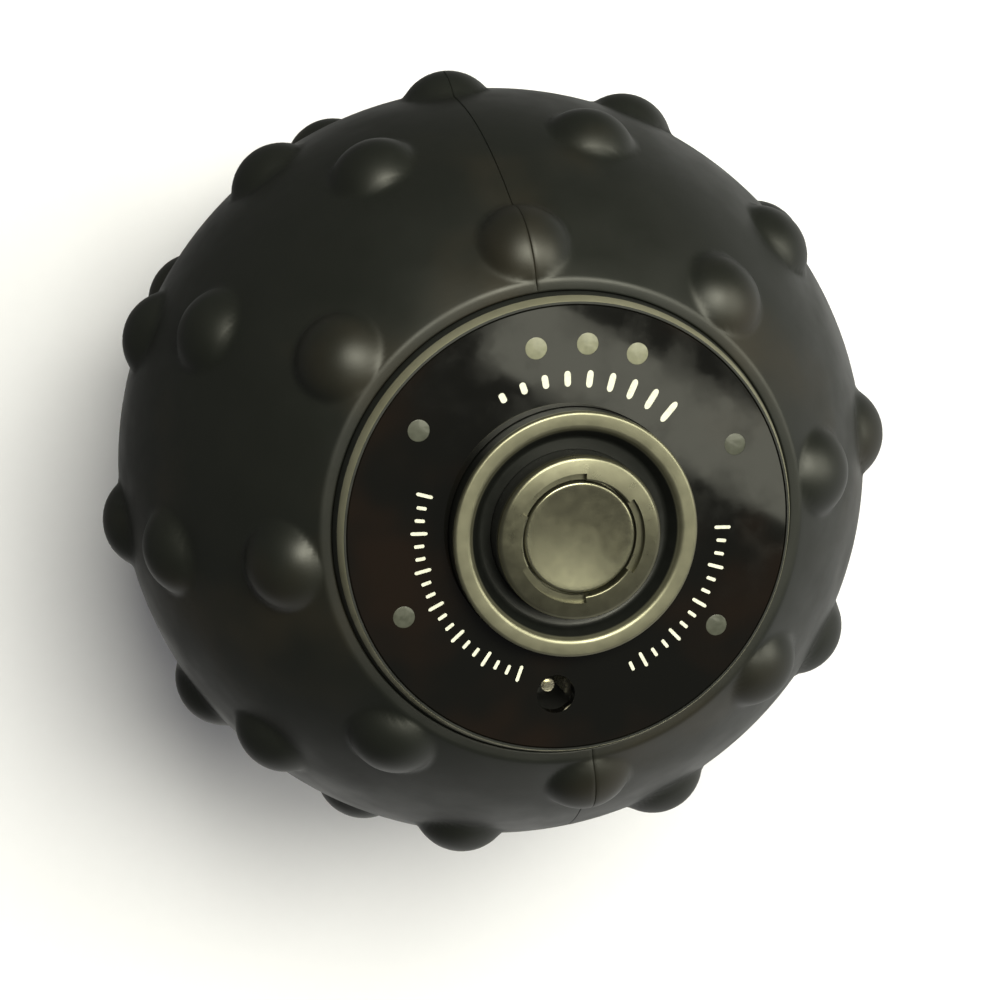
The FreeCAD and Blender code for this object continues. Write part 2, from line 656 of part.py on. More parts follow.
def button():
    ring = lathe("button_ring", (
        ("ring_bore", "board_top"),
        ("flange_radius", "board_top"),
        ("flange_radius", "lens_bottom"),
        ("ring_radius", "lens_bottom"),
        ("ring_radius", "ring_top - ring_edge"),
        ("ring_radius - ring_edge", "ring_top"),
        ("ring_inner", "ring_top - ring_lip", "groove_depth * 1.15", 1),
        ("ring_bore", "groove_floor"),
    ))
    finish(ring, "button_ring")
    collar = lathe("button_collar", (
        ("collar_cavity", "board_top"),
        ("collar_radius", "board_top"),
        ("collar_radius", "collar_top - collar_edge"),
        ("collar_radius - collar_edge", "collar_top"),
        ("collar_bore", "collar_top"),
        ("collar_bore", "collar_under"),
        ("collar_cavity", "collar_under"),
    ))
    slots = []
    for angle in SLOT_ANGLES:
        for part, size in (("outer", "collar_bore + slot_width"), ("inner", "collar_bore - 0.3")):
            wedge = doc.addObject("Part::Cylinder", "Wedge")
            wedge.Placement.Rotation = FreeCAD.Rotation(Vector(0, 0, 1), angle - value("slot_sweep") / 2)
            bind(wedge, "Placement.Rotation.Angle", f"{angle} - slot_sweep / 2")
            bind(wedge, "Radius", size)
            bind(wedge, "Angle", "slot_sweep")
            bind(wedge, "Height", "collar_plate + 1")
            bind(wedge, "Placement.Base.z", "collar_under - 0.5")
            if part == "outer":
                sector = wedge
        slots.append(cut(sector, wedge))
    finish(cut(collar, *slots), "button_collar")
    cap = lathe("button_cap", (
        ("0", "plunger_top"),
        ("cap_stem", "plunger_top"),
        ("cap_stem", "flange_bottom + cap_recess"),
        ("cap_radius - cap_skirt", "flange_bottom + cap_recess"),
        ("cap_radius - cap_skirt", "flange_bottom"),
        ("cap_radius + cap_flange", "flange_bottom"),
        ("cap_radius + cap_flange", "flange_top"),
        ("cap_radius", "flange_top"),
        ("cap_radius", "cap_top - cap_edge"),
        ("dish_half", "cap_top"),
        ("0", "cap_top"),
    ))
    dish = sphere("dish_radius")
    bind(dish, "Placement.Base.z", "cap_top - cap_dish + dish_radius")
    finish(cut(cap, dish), "button_cap")
    body = box("switch_side", "switch_side", "switch_height", ("0", "0", "board_top"))
    mouth = cylinder("plunger_radius + plunger_fit", "switch_height",
                     ("0", "0", "switch_top - plunger_recess"))
    finish(cut(body, mouth), "switch_body")
    stem = cylinder("plunger_radius", "plunger_top - switch_top + plunger_sink",
                    ("0", "0", "switch_top - plunger_sink"))
    finish(stem, "switch_plunger")
    finish(return_spring(), "return_spring")


def return_spring():
    """Round wire wound between the board and the cap's flange."""
    coil = doc.addObject("Part::Helix", "Coil")
    bind(coil, "Radius", "spring_radius")
    bind(coil, "Height", "spring_room")
    bind(coil, "Pitch", "spring_room / spring_turns")
    bind(coil, "Placement.Base.z", "spring_foot")
    wire = doc.addObject("Part::Circle", "Wire")
    wire.Placement.Rotation = FreeCAD.Rotation(Vector(1, 0, 0), 90)
    bind(wire, "Radius", "spring_wire / 2")
    bind(wire, "Placement.Base.x", "spring_radius")
    bind(wire, "Placement.Base.z", "spring_foot")
    wound = doc.addObject("Part::Sweep", "Wound")
    wound.Sections = [wire]
    wound.Spine = (coil, ["Edge1"])
    wound.Solid = True
    wound.Frenet = True
    return wound


# ---------------------------------------------------------------- charging socket

def charging_socket():
    x, y = polar("jack_circle", JACK_ANGLE)
    bottom = "socket_top - socket_depth"
    body = box("socket_side", "socket_side", "socket_depth", (x, y, bottom))
    bore = cylinder("socket_bore", "socket_depth", (x, y, "socket_floor"))
    finish(cut(body, bore), "dc_socket")
    pin = fuse(cylinder("socket_pin", "socket_pin_reach - socket_pin_tip", (x, y, "socket_floor")),
               cylinder("socket_pin - socket_pin_taper", "socket_pin_reach", (x, y, "socket_floor")))
    finish(pin, "dc_pin")
    leaf = box("contact_thickness", "contact_width", "socket_bore_depth - contact_drop",
               (f"{x} + socket_bore - contact_thickness / 2", y, "socket_floor"))
    finish(common(leaf, cylinder("socket_bore", "socket_depth", (x, y, bottom))), "dc_contact")


# ---------------------------------------------------------------- chassis

def chassis():
    plate = box("plate_x", "plate_y", "plate_thickness", ("0", "0", "plate_bottom"))
    tongue = box("2 * rail_outer", "2 * (pack_end + rail_wall)", "plate_thickness",
                 ("0", "0", "plate_bottom"))
    rise = "plate_thickness + rail_height"
    parts = [plate, tongue]
    for sign in (-1, 1):
        parts.append(box("rail_wall", "2 * (pack_end + rail_wall)", rise,
                         (f"{sign} * (pack_half + rail_wall / 2)", "0", "plate_bottom")))
        parts.append(box("2 * rail_outer", "rail_wall", rise,
                         ("0", f"{sign} * (pack_end + rail_wall / 2)", "plate_bottom")))
    saddle = box("2 * saddle_half", "saddle_length", "motor_drop + plate_bottom + 1",
                 ("0", "0", "-motor_drop"))
    parts.append(saddle)
    tools = [cylinder("sleeve_radius", "saddle_length + 2", ("0", "-(saddle_length + 2) / 2", "-motor_drop"),
                      along_y=True)]
    for x, y in chassis_corners():
        tools.append(plate_hole("screw_radius + hole_clearance", x, y))
    for x, y in clamp_corners():
        tools.append(cylinder("screw_radius", "boss_depth", (x, y, "-motor_drop - 1")))
    for sign in (-1, 1):
        tools.append(plate_hole("screw_radius", strap_screw_x(sign), "0"))
    tools.append(plate_hole("lead_radius * 3.4", "-rail_outer - lead_clearance",
                            "-motor_length / 2 - end_cap_length - 2"))
    finish(cut(fuse(*parts), *tools), "chassis", core=True)
    corner_screws = [screw("boss_depth", x, y, "plate_top") for x, y in chassis_corners()]
    finish(group(*corner_screws), "chassis_screws", core=True)


def plate_hole(radius, x, y):
    return cylinder(radius, "plate_thickness + 2", (x, y, "plate_bottom - 1"))


def clamp_corners():
    return [(f"{i} * clamp_screw_x", f"{j} * clamp_width * 0.3") for i in (-1, 1) for j in (-1, 1)]


def strap_screw_x(sign):
    return f"{sign} * (rail_outer + strap_wall + 3.2)"


# ---------------------------------------------------------------- battery

def battery():
    start = "-cell_length / 2"
    for side, sign in (("left", "-1"), ("right", "1")):
        cell = cylinder("cell_radius", "cell_length", (f"{sign} * cell_reach", start, "cell_height"), True)
        finish(cell, f"battery_cell_{side}", core=True)
    finish(box("4 * cell_radius - 3", "cell_length - 6", "pad_thickness", ("0", "0", "plate_top")),
           "battery_pad", core=True)
    middle = "cell_length / 2 + link_thickness / 2"
    finish(box("2 * cell_reach + 7", "link_thickness", "7", ("0", middle, "cell_height - 3.5")),
           "cell_link", core=True)
    tabs = [box("7", "link_thickness", "7", (f"{sign} * cell_reach", f"-({middle})", "cell_height - 3.5"))
            for sign in (-1, 1)]
    finish(group(*tabs), "cell_tabs", core=True)
    strap()
    top = "cell_height + cell_radius"
    board = box("2 * cell_reach + 1.2", "17", "1", ("0", "cell_length / 2 - 13", top))
    chip = box("5", "4", "1.4", ("-3", "cell_length / 2 - 13", f"{top} + 1"))
    finish(board, "protection_board", core=True)
    finish(chip, "protection_chip", core=True)


def strap():
    """Bridge over both cells, screwed to the chassis at its two feet."""
    top = "cell_height + cell_radius + 0.2"
    outside = box("2 * (rail_outer + strap_wall + 0.1)", "strap_width", f"{top} + strap_wall - plate_top",
                  ("0", "0", "plate_top"))
    inside = box("2 * (rail_outer + 0.1)", "strap_width + 2", f"{top} - plate_top + 1",
                 ("0", "0", "plate_top - 1"))
    feet = box("2 * (rail_outer + strap_wall + 6.4)", "strap_width", "strap_wall", ("0", "0", "plate_top"))
    bridge = cut(fuse(outside, feet), inside)
    holes = [cylinder("screw_radius + hole_clearance", "strap_wall + 2",
                      (strap_screw_x(sign), "0", "plate_top - 1"))
             for sign in (-1, 1)]
    finish(cut(bridge, *holes), "battery_strap", core=True)
    screws = [screw("strap_wall + plate_thickness", strap_screw_x(sign), "0", "plate_top + strap_wall")
              for sign in (-1, 1)]
    finish(group(*screws), "strap_screws", core=True)


# ---------------------------------------------------------------- motor

def along(radius, start, length):
    """A cylinder on the motor's axis."""
    return cylinder(radius, length, ("0", start, "-motor_drop"), along_y=True)


def motor():
    half = "motor_length / 2"
    inner = "motor_radius - can_wall"
    cavity = along(inner, f"-{half} - 1", "motor_length + 1 - can_wall")
    mouth = along("bush_radius", f"{half} - can_wall - 1", "can_wall + 2")
    finish(cut(along("motor_radius", f"-{half}", "motor_length"), cavity, mouth), "motor_can", core=True)
    end_cap = along("motor_radius - 0.6", f"-{half} - end_cap_length", "end_cap_length")
    seat = along("bush_radius", f"-{half} - end_cap_length - 1", "end_cap_length + 2")
    finish(cut(end_cap, seat), "motor_end_cap", core=True)
    bush_starts = (f"{half} - can_wall", f"-{half} - end_cap_length - 0.8")
    bushes = [cut(along("bush_radius", start, "bush_length"),
                  along("shaft_radius + shaft_play", f"{start} - 1", "bush_length + 2"))
              for start in bush_starts]
    finish(group(*bushes), "motor_bushes", core=True)
    magnet_length = "motor_length - 8"
    ring = cut(along(inner, f"-({magnet_length}) / 2", magnet_length),
               along(f"{inner} - magnet_thickness", "-motor_length / 2", "motor_length"))
    gap = box("10", "motor_length", "4 * motor_radius", ("0", "0", "-motor_drop - 2 * motor_radius"))
    finish(cut(ring, gap), "motor_magnets", core=True)
    core_radius = f"{inner} - magnet_thickness - air_gap"
    core_length = f"{magnet_length} - 3"
    stack = along(core_radius, f"-({core_length}) / 2", core_length)
    slots = []
    for angle in (90, 210, 330):
        slot = along("2.4", "-motor_length / 2", "motor_length")
        bind(slot, "Placement.Base.x", f"({core_radius}) * cos({angle})")
        bind(slot, "Placement.Base.z", f"-motor_drop + ({core_radius}) * sin({angle})")
        slots.append(slot)
    bore = along("shaft_radius", "-motor_length / 2", "motor_length")
    finish(cut(stack, *slots, bore), "motor_armature", core=True)
    finish(along("shaft_radius", "-shaft_rear", "shaft_rear + shaft_front"), "motor_shaft", core=True)
    weight("weight_front", "weight_start")
    weight("weight_rear", "-rear_weight_start - weight_length")
    terminals = [box("0.5", "2", "3", (f"{sign} * 9", f"-{half} - end_cap_length - 1", "-motor_drop - 1.5"))
                 for sign in (-1, 1)]
    finish(group(*terminals), "motor_terminals", core=True)
    sleeve_start = "-saddle_length / 2 - 1"
    finish(cut(along("sleeve_radius", sleeve_start, "saddle_length + 2"),
               along("motor_radius", f"{sleeve_start} - 1", "saddle_length + 4")),
           "motor_sleeve", core=True)


def weight(label, start):
    """Half-round eccentric weight that hangs from its hub."""
    disc = along("weight_radius", start, "weight_length")
    upper = box("3 * weight_radius", "3 * weight_length", "2 * weight_radius",
                ("0", f"{start} + weight_length / 2", "-motor_drop"))
    hub = along("hub_radius", start, "weight_length")
    bore = along("shaft_radius", f"{start} - 1", "weight_length + 2")
    finish(cut(fuse(cut(disc, upper), hub), bore), label, core=True)


def motor_clamp():
    outer = "sleeve_radius + clamp_wall"
    start = "-clamp_width / 2"
    ring = along(outer, start, "clamp_width")
    ears = box("2 * saddle_half", "clamp_width", "clamp_wall", ("0", "0", "-motor_drop - clamp_wall"))
    room = along("sleeve_radius", f"{start} - 1", "clamp_width + 2")
    upper = box("3 * saddle_half", "3 * clamp_width", "3 * sleeve_radius", ("0", "0", "-motor_drop"))
    holes = [cylinder("screw_radius + hole_clearance", "clamp_wall + 2",
                      (x, y, "-motor_drop - clamp_wall - 1"))
             for x, y in clamp_corners()]
    finish(cut(fuse(ring, ears), room, upper, *holes), "motor_clamp", core=True)
    screws = [screw("clamp_wall + 6", x, y, "-motor_drop - clamp_wall", upside_down=True)
              for x, y in clamp_corners()]
    finish(group(*screws), "clamp_screws", core=True)


# ---------------------------------------------------------------- leads

def lead(points):
    """Round lead along straight runs joined by tangent arcs."""
    runs = [(b - a).Length for a, b in zip(points, points[1:])]
    edges = []
    start = points[0]
    for i in range(1, len(points) - 1):
        into = (points[i] - points[i - 1]).normalize()
        out = (points[i + 1] - points[i]).normalize()
        setback = 0.45 * min(runs[i - 1], runs[i])
        first = points[i] - into * setback
        last = points[i] + out * setback
        turn = into.getAngle(out)
        radius = setback / math.tan(turn / 2)
        inward = (out - into).normalize()
        middle = points[i] + inward * (radius / math.cos(turn / 2) - radius)
        edges.append(Part.LineSegment(start, first).toShape())
        edges.append(Part.Arc(first, middle, last).toShape())
        start = last
    edges.append(Part.LineSegment(start, points[-1]).toShape())
    spine = Part.Wire(edges)
    profile = Part.Wire(Part.makeCircle(value("lead_radius"), points[0], points[1] - points[0]))
    return spine.makePipeShell([profile], True, False)


def leads():
    plug_foot = value("plug_foot")
    for name, x in (("battery", 6.0), ("motor", -6.0)):
        header = box("8", "6", "header_height", (x, "0", "floor_top - header_height"))
        finish(header, f"{name}_header", core=True)
        plug = box("7", "5", "plug_height", (x, "0", "plug_foot"))
        finish(plug, f"{name}_plug", core=True)
    # the routes' landmarks: the pack's top and the room over it, the gap behind the motor, its
    # axis and the rail's side
    pack_top = value("cell_height + cell_radius + lead_radius") + 1
    room = plug_foot - pack_top
    gap = value("-motor_length / 2 - end_cap_length") - 2
    axis = -value("motor_drop")
    beside = -value("rail_outer + lead_clearance")
    plate = value("plate_bottom")
    pairs = {
        "battery_leads": [
            [Vector(x, 0, plug_foot), Vector(x, 0, pack_top + 0.6 * room),
             Vector(x + 1, 9, pack_top + 0.3 * room),
             Vector(x - 1, 16, pack_top), Vector(x - 1, 24, pack_top)]
            for x in (4.6, 7.4)],
        "motor_leads": [
            [Vector(-4.6, 0, plug_foot), Vector(-4.6, 0, pack_top + 0.6 * room),
             Vector(-14, -8, pack_top + 0.3 * room),
             Vector(beside + 1, -16, pack_top - 4.5), Vector(beside + 1, gap, 6),
             Vector(beside + 1, gap, plate - 2.7), Vector(0, gap, plate - 2.5),
             Vector(15.5, gap, plate - 4.5), Vector(15.5, gap, axis), Vector(9.25, gap, axis)],
            [Vector(-7.4, 0, plug_foot), Vector(-7.4, 0, pack_top + 0.6 * room),
             Vector(-16.5, -8, pack_top + 0.43 * room),
             Vector(beside - 1, -16, pack_top - 2.5), Vector(beside - 1, gap, 6),
             Vector(beside - 1, gap, plate - 7.5), Vector(-15.5, gap, axis + 4.5),
             Vector(-15.5, gap, axis), Vector(-9.25, gap, axis)]],
    }
    for label, routes in pairs.items():
        node = doc.addObject("Part::Feature", label)
        node.Shape = Part.Compound([lead(route) for route in routes])
        finish(node, label, core=True)


# ---------------------------------------------------------------- build, test and write

def check():
    for thing in doc.Objects:
        if "Invalid" in thing.State or "Error" in thing.State:
            raise RuntimeError(f"{thing.Name} ({thing.Label}) failed: {thing.State}")
    for part in finished:
        if part.Shape.isNull() or not part.Shape.isValid() or not part.Shape.Solids:
            raise RuntimeError(part.Label + " has no valid solid")


def write():
    os.makedirs("parts", exist_ok=True)
    for part in finished:
        part.Shape.exportStep(f"parts/{part.Label}.step")
        size = part.Shape.BoundBox
        print(f"{part.Label:22s} solids {len(part.Shape.Solids):2d}  volume {part.Shape.Volume:10.1f}"
              f"  z {size.ZMin:7.2f} to {size.ZMax:7.2f}")


skin()
shell()
panel_base()
panel_lens()
light_mask()
control_board()
panel_screws()
button()
charging_socket()
chassis()
battery()
motor()
motor_clamp()
leads()
doc.recompute()
check()
write()
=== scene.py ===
"""A vibrating massage ball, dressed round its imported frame.

The bumped rubber skin, the round control panel's satin trim, windows and printed marks, and the
push button are made here. The panel's base and lens and the parts inside the ball stay as they
are and get their finishes.
Lengths are in metres and heights are above the surface that the ball stands on.
"""
import json
import math

import bmesh
import bpy
from bpy.props import FloatProperty, FloatVectorProperty, IntProperty, PointerProperty
from bpy.types import Operator, Panel, PropertyGroup
from mathutils import Matrix, Vector


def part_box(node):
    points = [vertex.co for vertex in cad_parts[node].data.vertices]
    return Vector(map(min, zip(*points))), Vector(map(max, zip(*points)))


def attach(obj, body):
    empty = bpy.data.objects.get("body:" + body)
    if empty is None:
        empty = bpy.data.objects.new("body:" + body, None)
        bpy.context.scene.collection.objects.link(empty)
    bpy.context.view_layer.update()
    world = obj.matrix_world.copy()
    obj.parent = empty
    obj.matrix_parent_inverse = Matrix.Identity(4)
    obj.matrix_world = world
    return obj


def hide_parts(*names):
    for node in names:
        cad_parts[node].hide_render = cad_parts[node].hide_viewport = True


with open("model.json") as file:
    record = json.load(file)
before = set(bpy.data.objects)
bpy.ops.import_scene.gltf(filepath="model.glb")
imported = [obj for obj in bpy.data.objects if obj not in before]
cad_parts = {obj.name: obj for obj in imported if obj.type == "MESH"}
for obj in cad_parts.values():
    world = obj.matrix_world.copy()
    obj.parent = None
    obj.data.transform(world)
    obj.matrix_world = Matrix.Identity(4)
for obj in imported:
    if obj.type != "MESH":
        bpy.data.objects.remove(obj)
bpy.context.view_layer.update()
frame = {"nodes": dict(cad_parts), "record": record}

bl_info = {
    "name": "Massage ball",
    "version": (1, 0, 0),
    "blender": (4, 5, 0),
    "location": "View3D > Sidebar > Massage ball",
    "description": "Builds a bumped rubber massage ball with a round control panel",
    "category": "Object",
}

MM = 0.001


# ------------------------------------------------------------------ places taken from the frame

def widest(*nodes):
    """The largest reach from the panel's axis of some turned parts."""
    return max(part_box(node)[1].x for node in nodes)


def top(node):
    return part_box(node)[1].z


def bottom(node):
    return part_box(node)[0].z


SHELL_RADIUS = widest("shell_right", "shell_left")
BALL_CENTRE = bottom("shell_right") + SHELL_RADIUS
LENS_TOP = top("panel_lens")
LENS_BOTTOM = bottom("panel_lens")
BOARD_TOP = top("control_board")
# the ring and the cap are held by a foot that stands out under the piece above it
RING_FOOT = 1.6 * MM
CAP_FOOT = 1.6 * MM


# ------------------------------------------------------------------ sizes and colours

def length(name, description, millimetres):
    return FloatProperty(name=name, description=description, default=millimetres * MM,
                         min=0.0, precision=5, subtype="DISTANCE", unit="LENGTH")


def turn(name, description, degrees):
    return FloatProperty(name=name, description=description, default=math.radians(degrees),
                         subtype="ANGLE", unit="ROTATION")


def colour(name, description, shade):
    return FloatVectorProperty(name=name, description=description, default=shade,
                               size=3, min=0.0, max=1.0, subtype="COLOR")


class SkinSizes(PropertyGroup):
    thickness: length("Thickness", "Rubber over the hard shell", 3.0)
    glue: length("Glue film", "Between rubber and shell", 0.05)
    bump_height: length("Bump height", "Bump above the skin", 3.3)
    bump_round: length("Bump radius", "Radius of a bump's dome", 8.0)
    bump_blend: length("Bump fillet", "Fillet round a bump's foot", 0.6)
    ring_one: turn("First ring", "Tilt of the bumps round the panel", 43.5)
    ring_two: turn("Second ring", "Tilt of the second ring of bumps", 67.4)
    feet: turn("Feet", "Tilt of the four lowest bumps from straight down", 18.0)
    seam_turn: turn("Seam", "Turn of the seam against the panel", 12.0)
    seam_width: length("Seam width", "Half the width of the seam's groove", 0.12)
    seam_depth: length("Seam depth", "Depth of the seam's groove", 0.15)
    rim_gap: length("Rim gap", "Gap between rubber and panel", 0.06)
    rim_land: length("Rim land", "Flat rubber round the panel", 1.8)
    rim_round: length("Rim rounding", "Rounded edge of the rubber rim", 1.5)
    columns: IntProperty(name="Columns", description="Steps round one half", default=240, min=24)
    rows: IntProperty(name="Rows", description="Steps from rim to pole", default=190, min=24)


class PanelSizes(PropertyGroup):
    bezel_flare: length("Bezel flare", "Panel base wider at its foot", 1.1)
    bezel_rise: length("Bezel rise", "Height of the panel base's slanted side", 3.1)
    trim_height: length("Trim height", "Satin trim on the upper part of the slanted side", 1.8)
    trim_thickness: length("Trim thickness", "Satin trim over the base", 0.08)
    window_circle: length("Window circle", "Windows from the panel's middle", 27.1)
    window_radius: length("Window radius", "Light window", 1.6)
    window_spread: turn("Window spread", "Angle between the three upper windows", 16.0)
    mark_lift: length("Mark thickness", "Thickness of the printed marks", 0.03)


class ButtonSizes(PropertyGroup):
    ring_width: length("Ring width", "Top of the outer ring", 2.7)
    ring_round: length("Ring rounding", "Outer edge of the ring", 0.5)
    groove_depth: length("Groove depth", "Groove under the ring's top", 3.0)
    collar_round: length("Collar rounding", "Outer edge of the collar", 0.8)
    cap_fit: length("Cap gap", "Gap round the cap", 0.3)
    cap_dish: length("Cap dish", "Depth of the cap's dish", 0.35)
    slot_depth: length("Slot depth", "Depth of an arc slot", 1.1)
    slot_width: length("Slot width", "Arc slot beside the cap", 1.0)
    slot_sweep: turn("Slot sweep", "Angle of an arc slot", 70.0)
    slot_first: turn("First slot", "Middle of the first arc slot", 5.0)


class Colours(PropertyGroup):
    rubber: colour("Rubber", "Skin", (0.0078, 0.0088, 0.0072))
    rubber_worn: colour("Worn rubber", "Handled patches of the skin", (0.017, 0.0145, 0.0095))
    lens: colour("Lens", "Glossy panel", (0.0040, 0.0040, 0.0036))
    satin: colour("Satin grey", "Trim and button", (0.30, 0.29, 0.21))
    # darkened to 0.6, this colour is also the painted shade in the button's groove
    dark: colour("Dark plastic", "Panel base and the button's walls", (0.010, 0.011, 0.010))
    window: colour("Window", "Frosted light window", (0.055, 0.058, 0.045))
    bright_window: colour("Charge window", "Frosted charge window", (0.19, 0.19, 0.135))
    print: colour("Print", "Marks on the lens", (0.70, 0.70, 0.62))


class StageSettings(PropertyGroup):
    azimuth: turn("Azimuth", "Camera round the ball", 142.8)
    elevation: turn("Elevation", "Camera above the horizon", 72.7)
    roll: turn("Roll", "Turn of the camera about its line of sight", 4.83)
    distance: length("Distance", "Camera from the ball's centre", 420.0)
    aim_right: length("Aim right", "Aim beside the ball's centre", 1.49)
    aim_down: length("Aim down", "Aim below the ball's centre", 6.33)
    lens: FloatProperty(name="Focal length", description="Camera lens", default=92.9, unit="CAMERA")


# ------------------------------------------------------------------ node trees in plain lines

class Nodes:
    """A node tree that is written line by line; values are numbers or sockets."""

    def __init__(self, tree):
        self.tree = tree

    def feed(self, socket, value):
        if isinstance(value, bpy.types.NodeSocket):
            self.tree.links.new(value, socket)
        elif value is not None:
            socket.default_value = value

    def node(self, kind, *values, output=0, **settings):
        made = self.tree.nodes.new(kind)
        for name, setting in settings.items():
            setattr(made, name, setting)
        for socket, value in zip(made.inputs, values):
            self.feed(socket, value)
        return made.outputs[output]

    def math(self, operation, *values):
        return self.node("ShaderNodeMath", *values, operation=operation)

    def remap(self, value, *limits, smooth=False):
        """Take value from one pair of limits to another, held at both ends."""
        kind = "SMOOTHSTEP" if smooth else "LINEAR"
        return self.node("ShaderNodeMapRange", value, *limits, interpolation_type=kind, clamp=True)

    def split(self, vector):
        made = self.tree.nodes.new("ShaderNodeSeparateXYZ")
        self.tree.links.new(vector, made.inputs[0])
        return made.outputs[:3]


class Tree(Nodes):
    """A Geometry Nodes tree with named inputs."""

    def __init__(self, name, inputs):
        super().__init__(bpy.data.node_groups.new(name, "GeometryNodeTree"))
        face = self.tree.interface
        face.new_socket("Geometry", in_out="OUTPUT", socket_type="NodeSocketGeometry")
        face.new_socket("Geometry", in_out="INPUT", socket_type="NodeSocketGeometry")
        for title, kind in inputs:
            face.new_socket(title, in_out="INPUT", socket_type="NodeSocket" + kind)
        face.new_socket("Material", in_out="INPUT", socket_type="NodeSocketMaterial")
        self.enter = self.tree.nodes.new("NodeGroupInput")
        self.leave = self.tree.nodes.new("NodeGroupOutput")
        self.position = self.node("GeometryNodeInputPosition")

    def __getitem__(self, title):
        return self.enter.outputs[title]

    def vector(self, operation, *values, output=0):
        return self.node("ShaderNodeVectorMath", *values, output=output, operation=operation)

    def combine(self, x, y, z):
        return self.node("ShaderNodeCombineXYZ", x, y, z)

    def move(self, geometry, position):
        return self.node("GeometryNodeSetPosition", geometry, None, position)

    def shift(self, geometry, translation=None, rotation=None):
        return self.node("GeometryNodeTransform", geometry, translation, rotation)

    def join(self, *geometries):
        made = self.tree.nodes.new("GeometryNodeJoinGeometry")
        for geometry in geometries:
            self.tree.links.new(geometry, made.inputs[0])
        return made.outputs[0]

    def pick(self, test, yes, no):
        return self.node("GeometryNodeSwitch", test, no, yes, input_type="FLOAT")

    def finish(self, geometry):
        real = self.node("GeometryNodeRealizeInstances", geometry)
        dressed = self.node("GeometryNodeSetMaterial", real, None, self["Material"])
        self.tree.links.new(dressed, self.leave.inputs[0])
        return self


def on_axis(tree, radius, height, angle):
    """A point at a radius, a height and an angle about Z."""
    return tree.combine(tree.math("MULTIPLY", radius, tree.math("COSINE", angle)),
                        tree.math("MULTIPLY", radius, tree.math("SINE", angle)), height)


def revolve(tree, section, columns, start, sweep, squeeze=None):
    """Turn a closed section (radius, height) about Z on a grid, one row for each of its points."""
    count = tree.node("GeometryNodeAttributeDomainSize", section, component="MESH")
    grid = tree.node("GeometryNodeMeshGrid", 1.0, 1.0, tree.math("ADD", columns, 1.0),
                     tree.math("ADD", count, 1.0))
    across, along, _ = tree.split(tree.position)
    share = tree.math("ADD", across, 0.5)
    if squeeze:
        share = squeeze(share)
    row = tree.math("ROUND", tree.math("MULTIPLY", tree.math("ADD", along, 0.5), count))
    row = tree.math("FLOORED_MODULO", row, count)
    point = tree.node("GeometryNodeSampleIndex", section, tree.position, row,
                      data_type="FLOAT_VECTOR", domain="POINT")
    radius, height, _ = tree.split(point)
    angle = tree.math("ADD", start, tree.math("MULTIPLY", sweep, share))
    return tree.move(grid, on_axis(tree, radius, height, angle))


def end_face(tree, section, angle):
    """The flat face that closes a part turn at an angle."""
    outline = tree.node("GeometryNodeMeshToCurve", section)
    flat = tree.node("GeometryNodeFillCurve", outline, mode="NGONS")
    radius, height, _ = tree.split(tree.position)
    return tree.move(flat, on_axis(tree, radius, height, angle))


# ------------------------------------------------------------------ outlines and meshes

def rounded(corners, steps=5):
    """A closed outline from (radius, height, rounding) corners."""
    points = []
    for i, (x, y, rounding) in enumerate(corners):
        here = Vector((x, y))
        if not rounding:
            points.append(here)
            continue
        into = (Vector(corners[i - 1][:2]) - here).normalized()
        out = (Vector(corners[(i + 1) % len(corners)][:2]) - here).normalized()
        half = into.angle(out) / 2
        reach = rounding / math.tan(half)
        centre = here + (into + out).normalized() * (rounding / math.sin(half))
        first, last = here + into * reach - centre, here + out * reach - centre
        swing = first.angle_signed(last)
        for k in range(steps + 1):
            points.append(centre + Matrix.Rotation(-swing * k / steps, 2) @ first)
    return points


def arc(centre, radius, first, last, steps):
    """Points on an arc of the outline's plane, from one angle to another, in degrees."""
    angles = [math.radians(first + (last - first) * k / steps) for k in range(steps + 1)]
    return [(centre[0] + radius * math.cos(a), centre[1] + radius * math.sin(a), 0) for a in angles]


def outline_mesh(name, points):
    mesh = bpy.data.meshes.new(name)
    count = len(points)
    mesh.from_pydata([(p[0], p[1], 0.0) for p in points],
                     [(i, (i + 1) % count) for i in range(count)], [])
    return mesh


def tidy_mesh(mesh, crease):
    """Close the mesh's seams, point its faces outwards and shade it smooth between creases."""
    shape = bmesh.new()
    shape.from_mesh(mesh)
    bmesh.ops.remove_doubles(shape, verts=shape.verts, dist=1e-6)
    bmesh.ops.dissolve_degenerate(shape, edges=shape.edges, dist=1e-7)
    bmesh.ops.recalc_face_normals(shape, faces=shape.faces)
    if shape.calc_volume(signed=True) < 0:
        bmesh.ops.reverse_faces(shape, faces=shape.faces)
    shape.to_mesh(mesh)
    shape.free()
    mesh.shade_smooth()
    mesh.set_sharp_from_angle(angle=math.radians(crease))


def grow(name, base, tree, material, crease=35, **inputs):
    """Run a tree once on a base mesh and keep its result as a plain mesh."""
    piece = bpy.data.objects.new(name, base)
    bpy.context.scene.collection.objects.link(piece)
    modifier = piece.modifiers.new(tree.tree.name, "NODES")
    modifier.node_group = tree.tree
    values = {title.replace("_", " "): value for title, value in inputs.items()}
    values["Material"] = material
    for item in tree.tree.interface.items_tree:
        if item.in_out == "INPUT" and item.name in values:
            modifier[item.identifier] = values.pop(item.name)
    if values:
        raise RuntimeError(f"{name}: the tree has no input named {sorted(values)}")
    bpy.context.view_layer.update()
    result = bpy.data.meshes.new_from_object(piece.evaluated_get(bpy.context.evaluated_depsgraph_get()))
    piece.modifiers.clear()
    piece.data = result
    bpy.data.meshes.remove(base)
    result.name = name
    tidy_mesh(result, crease)
    return piece


def settle(piece, body, slot, *nodes):
    """Hang a finished piece on its body, in place of the nodes that it stands for."""
    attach(piece, body)
    if nodes:
        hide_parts(*nodes)


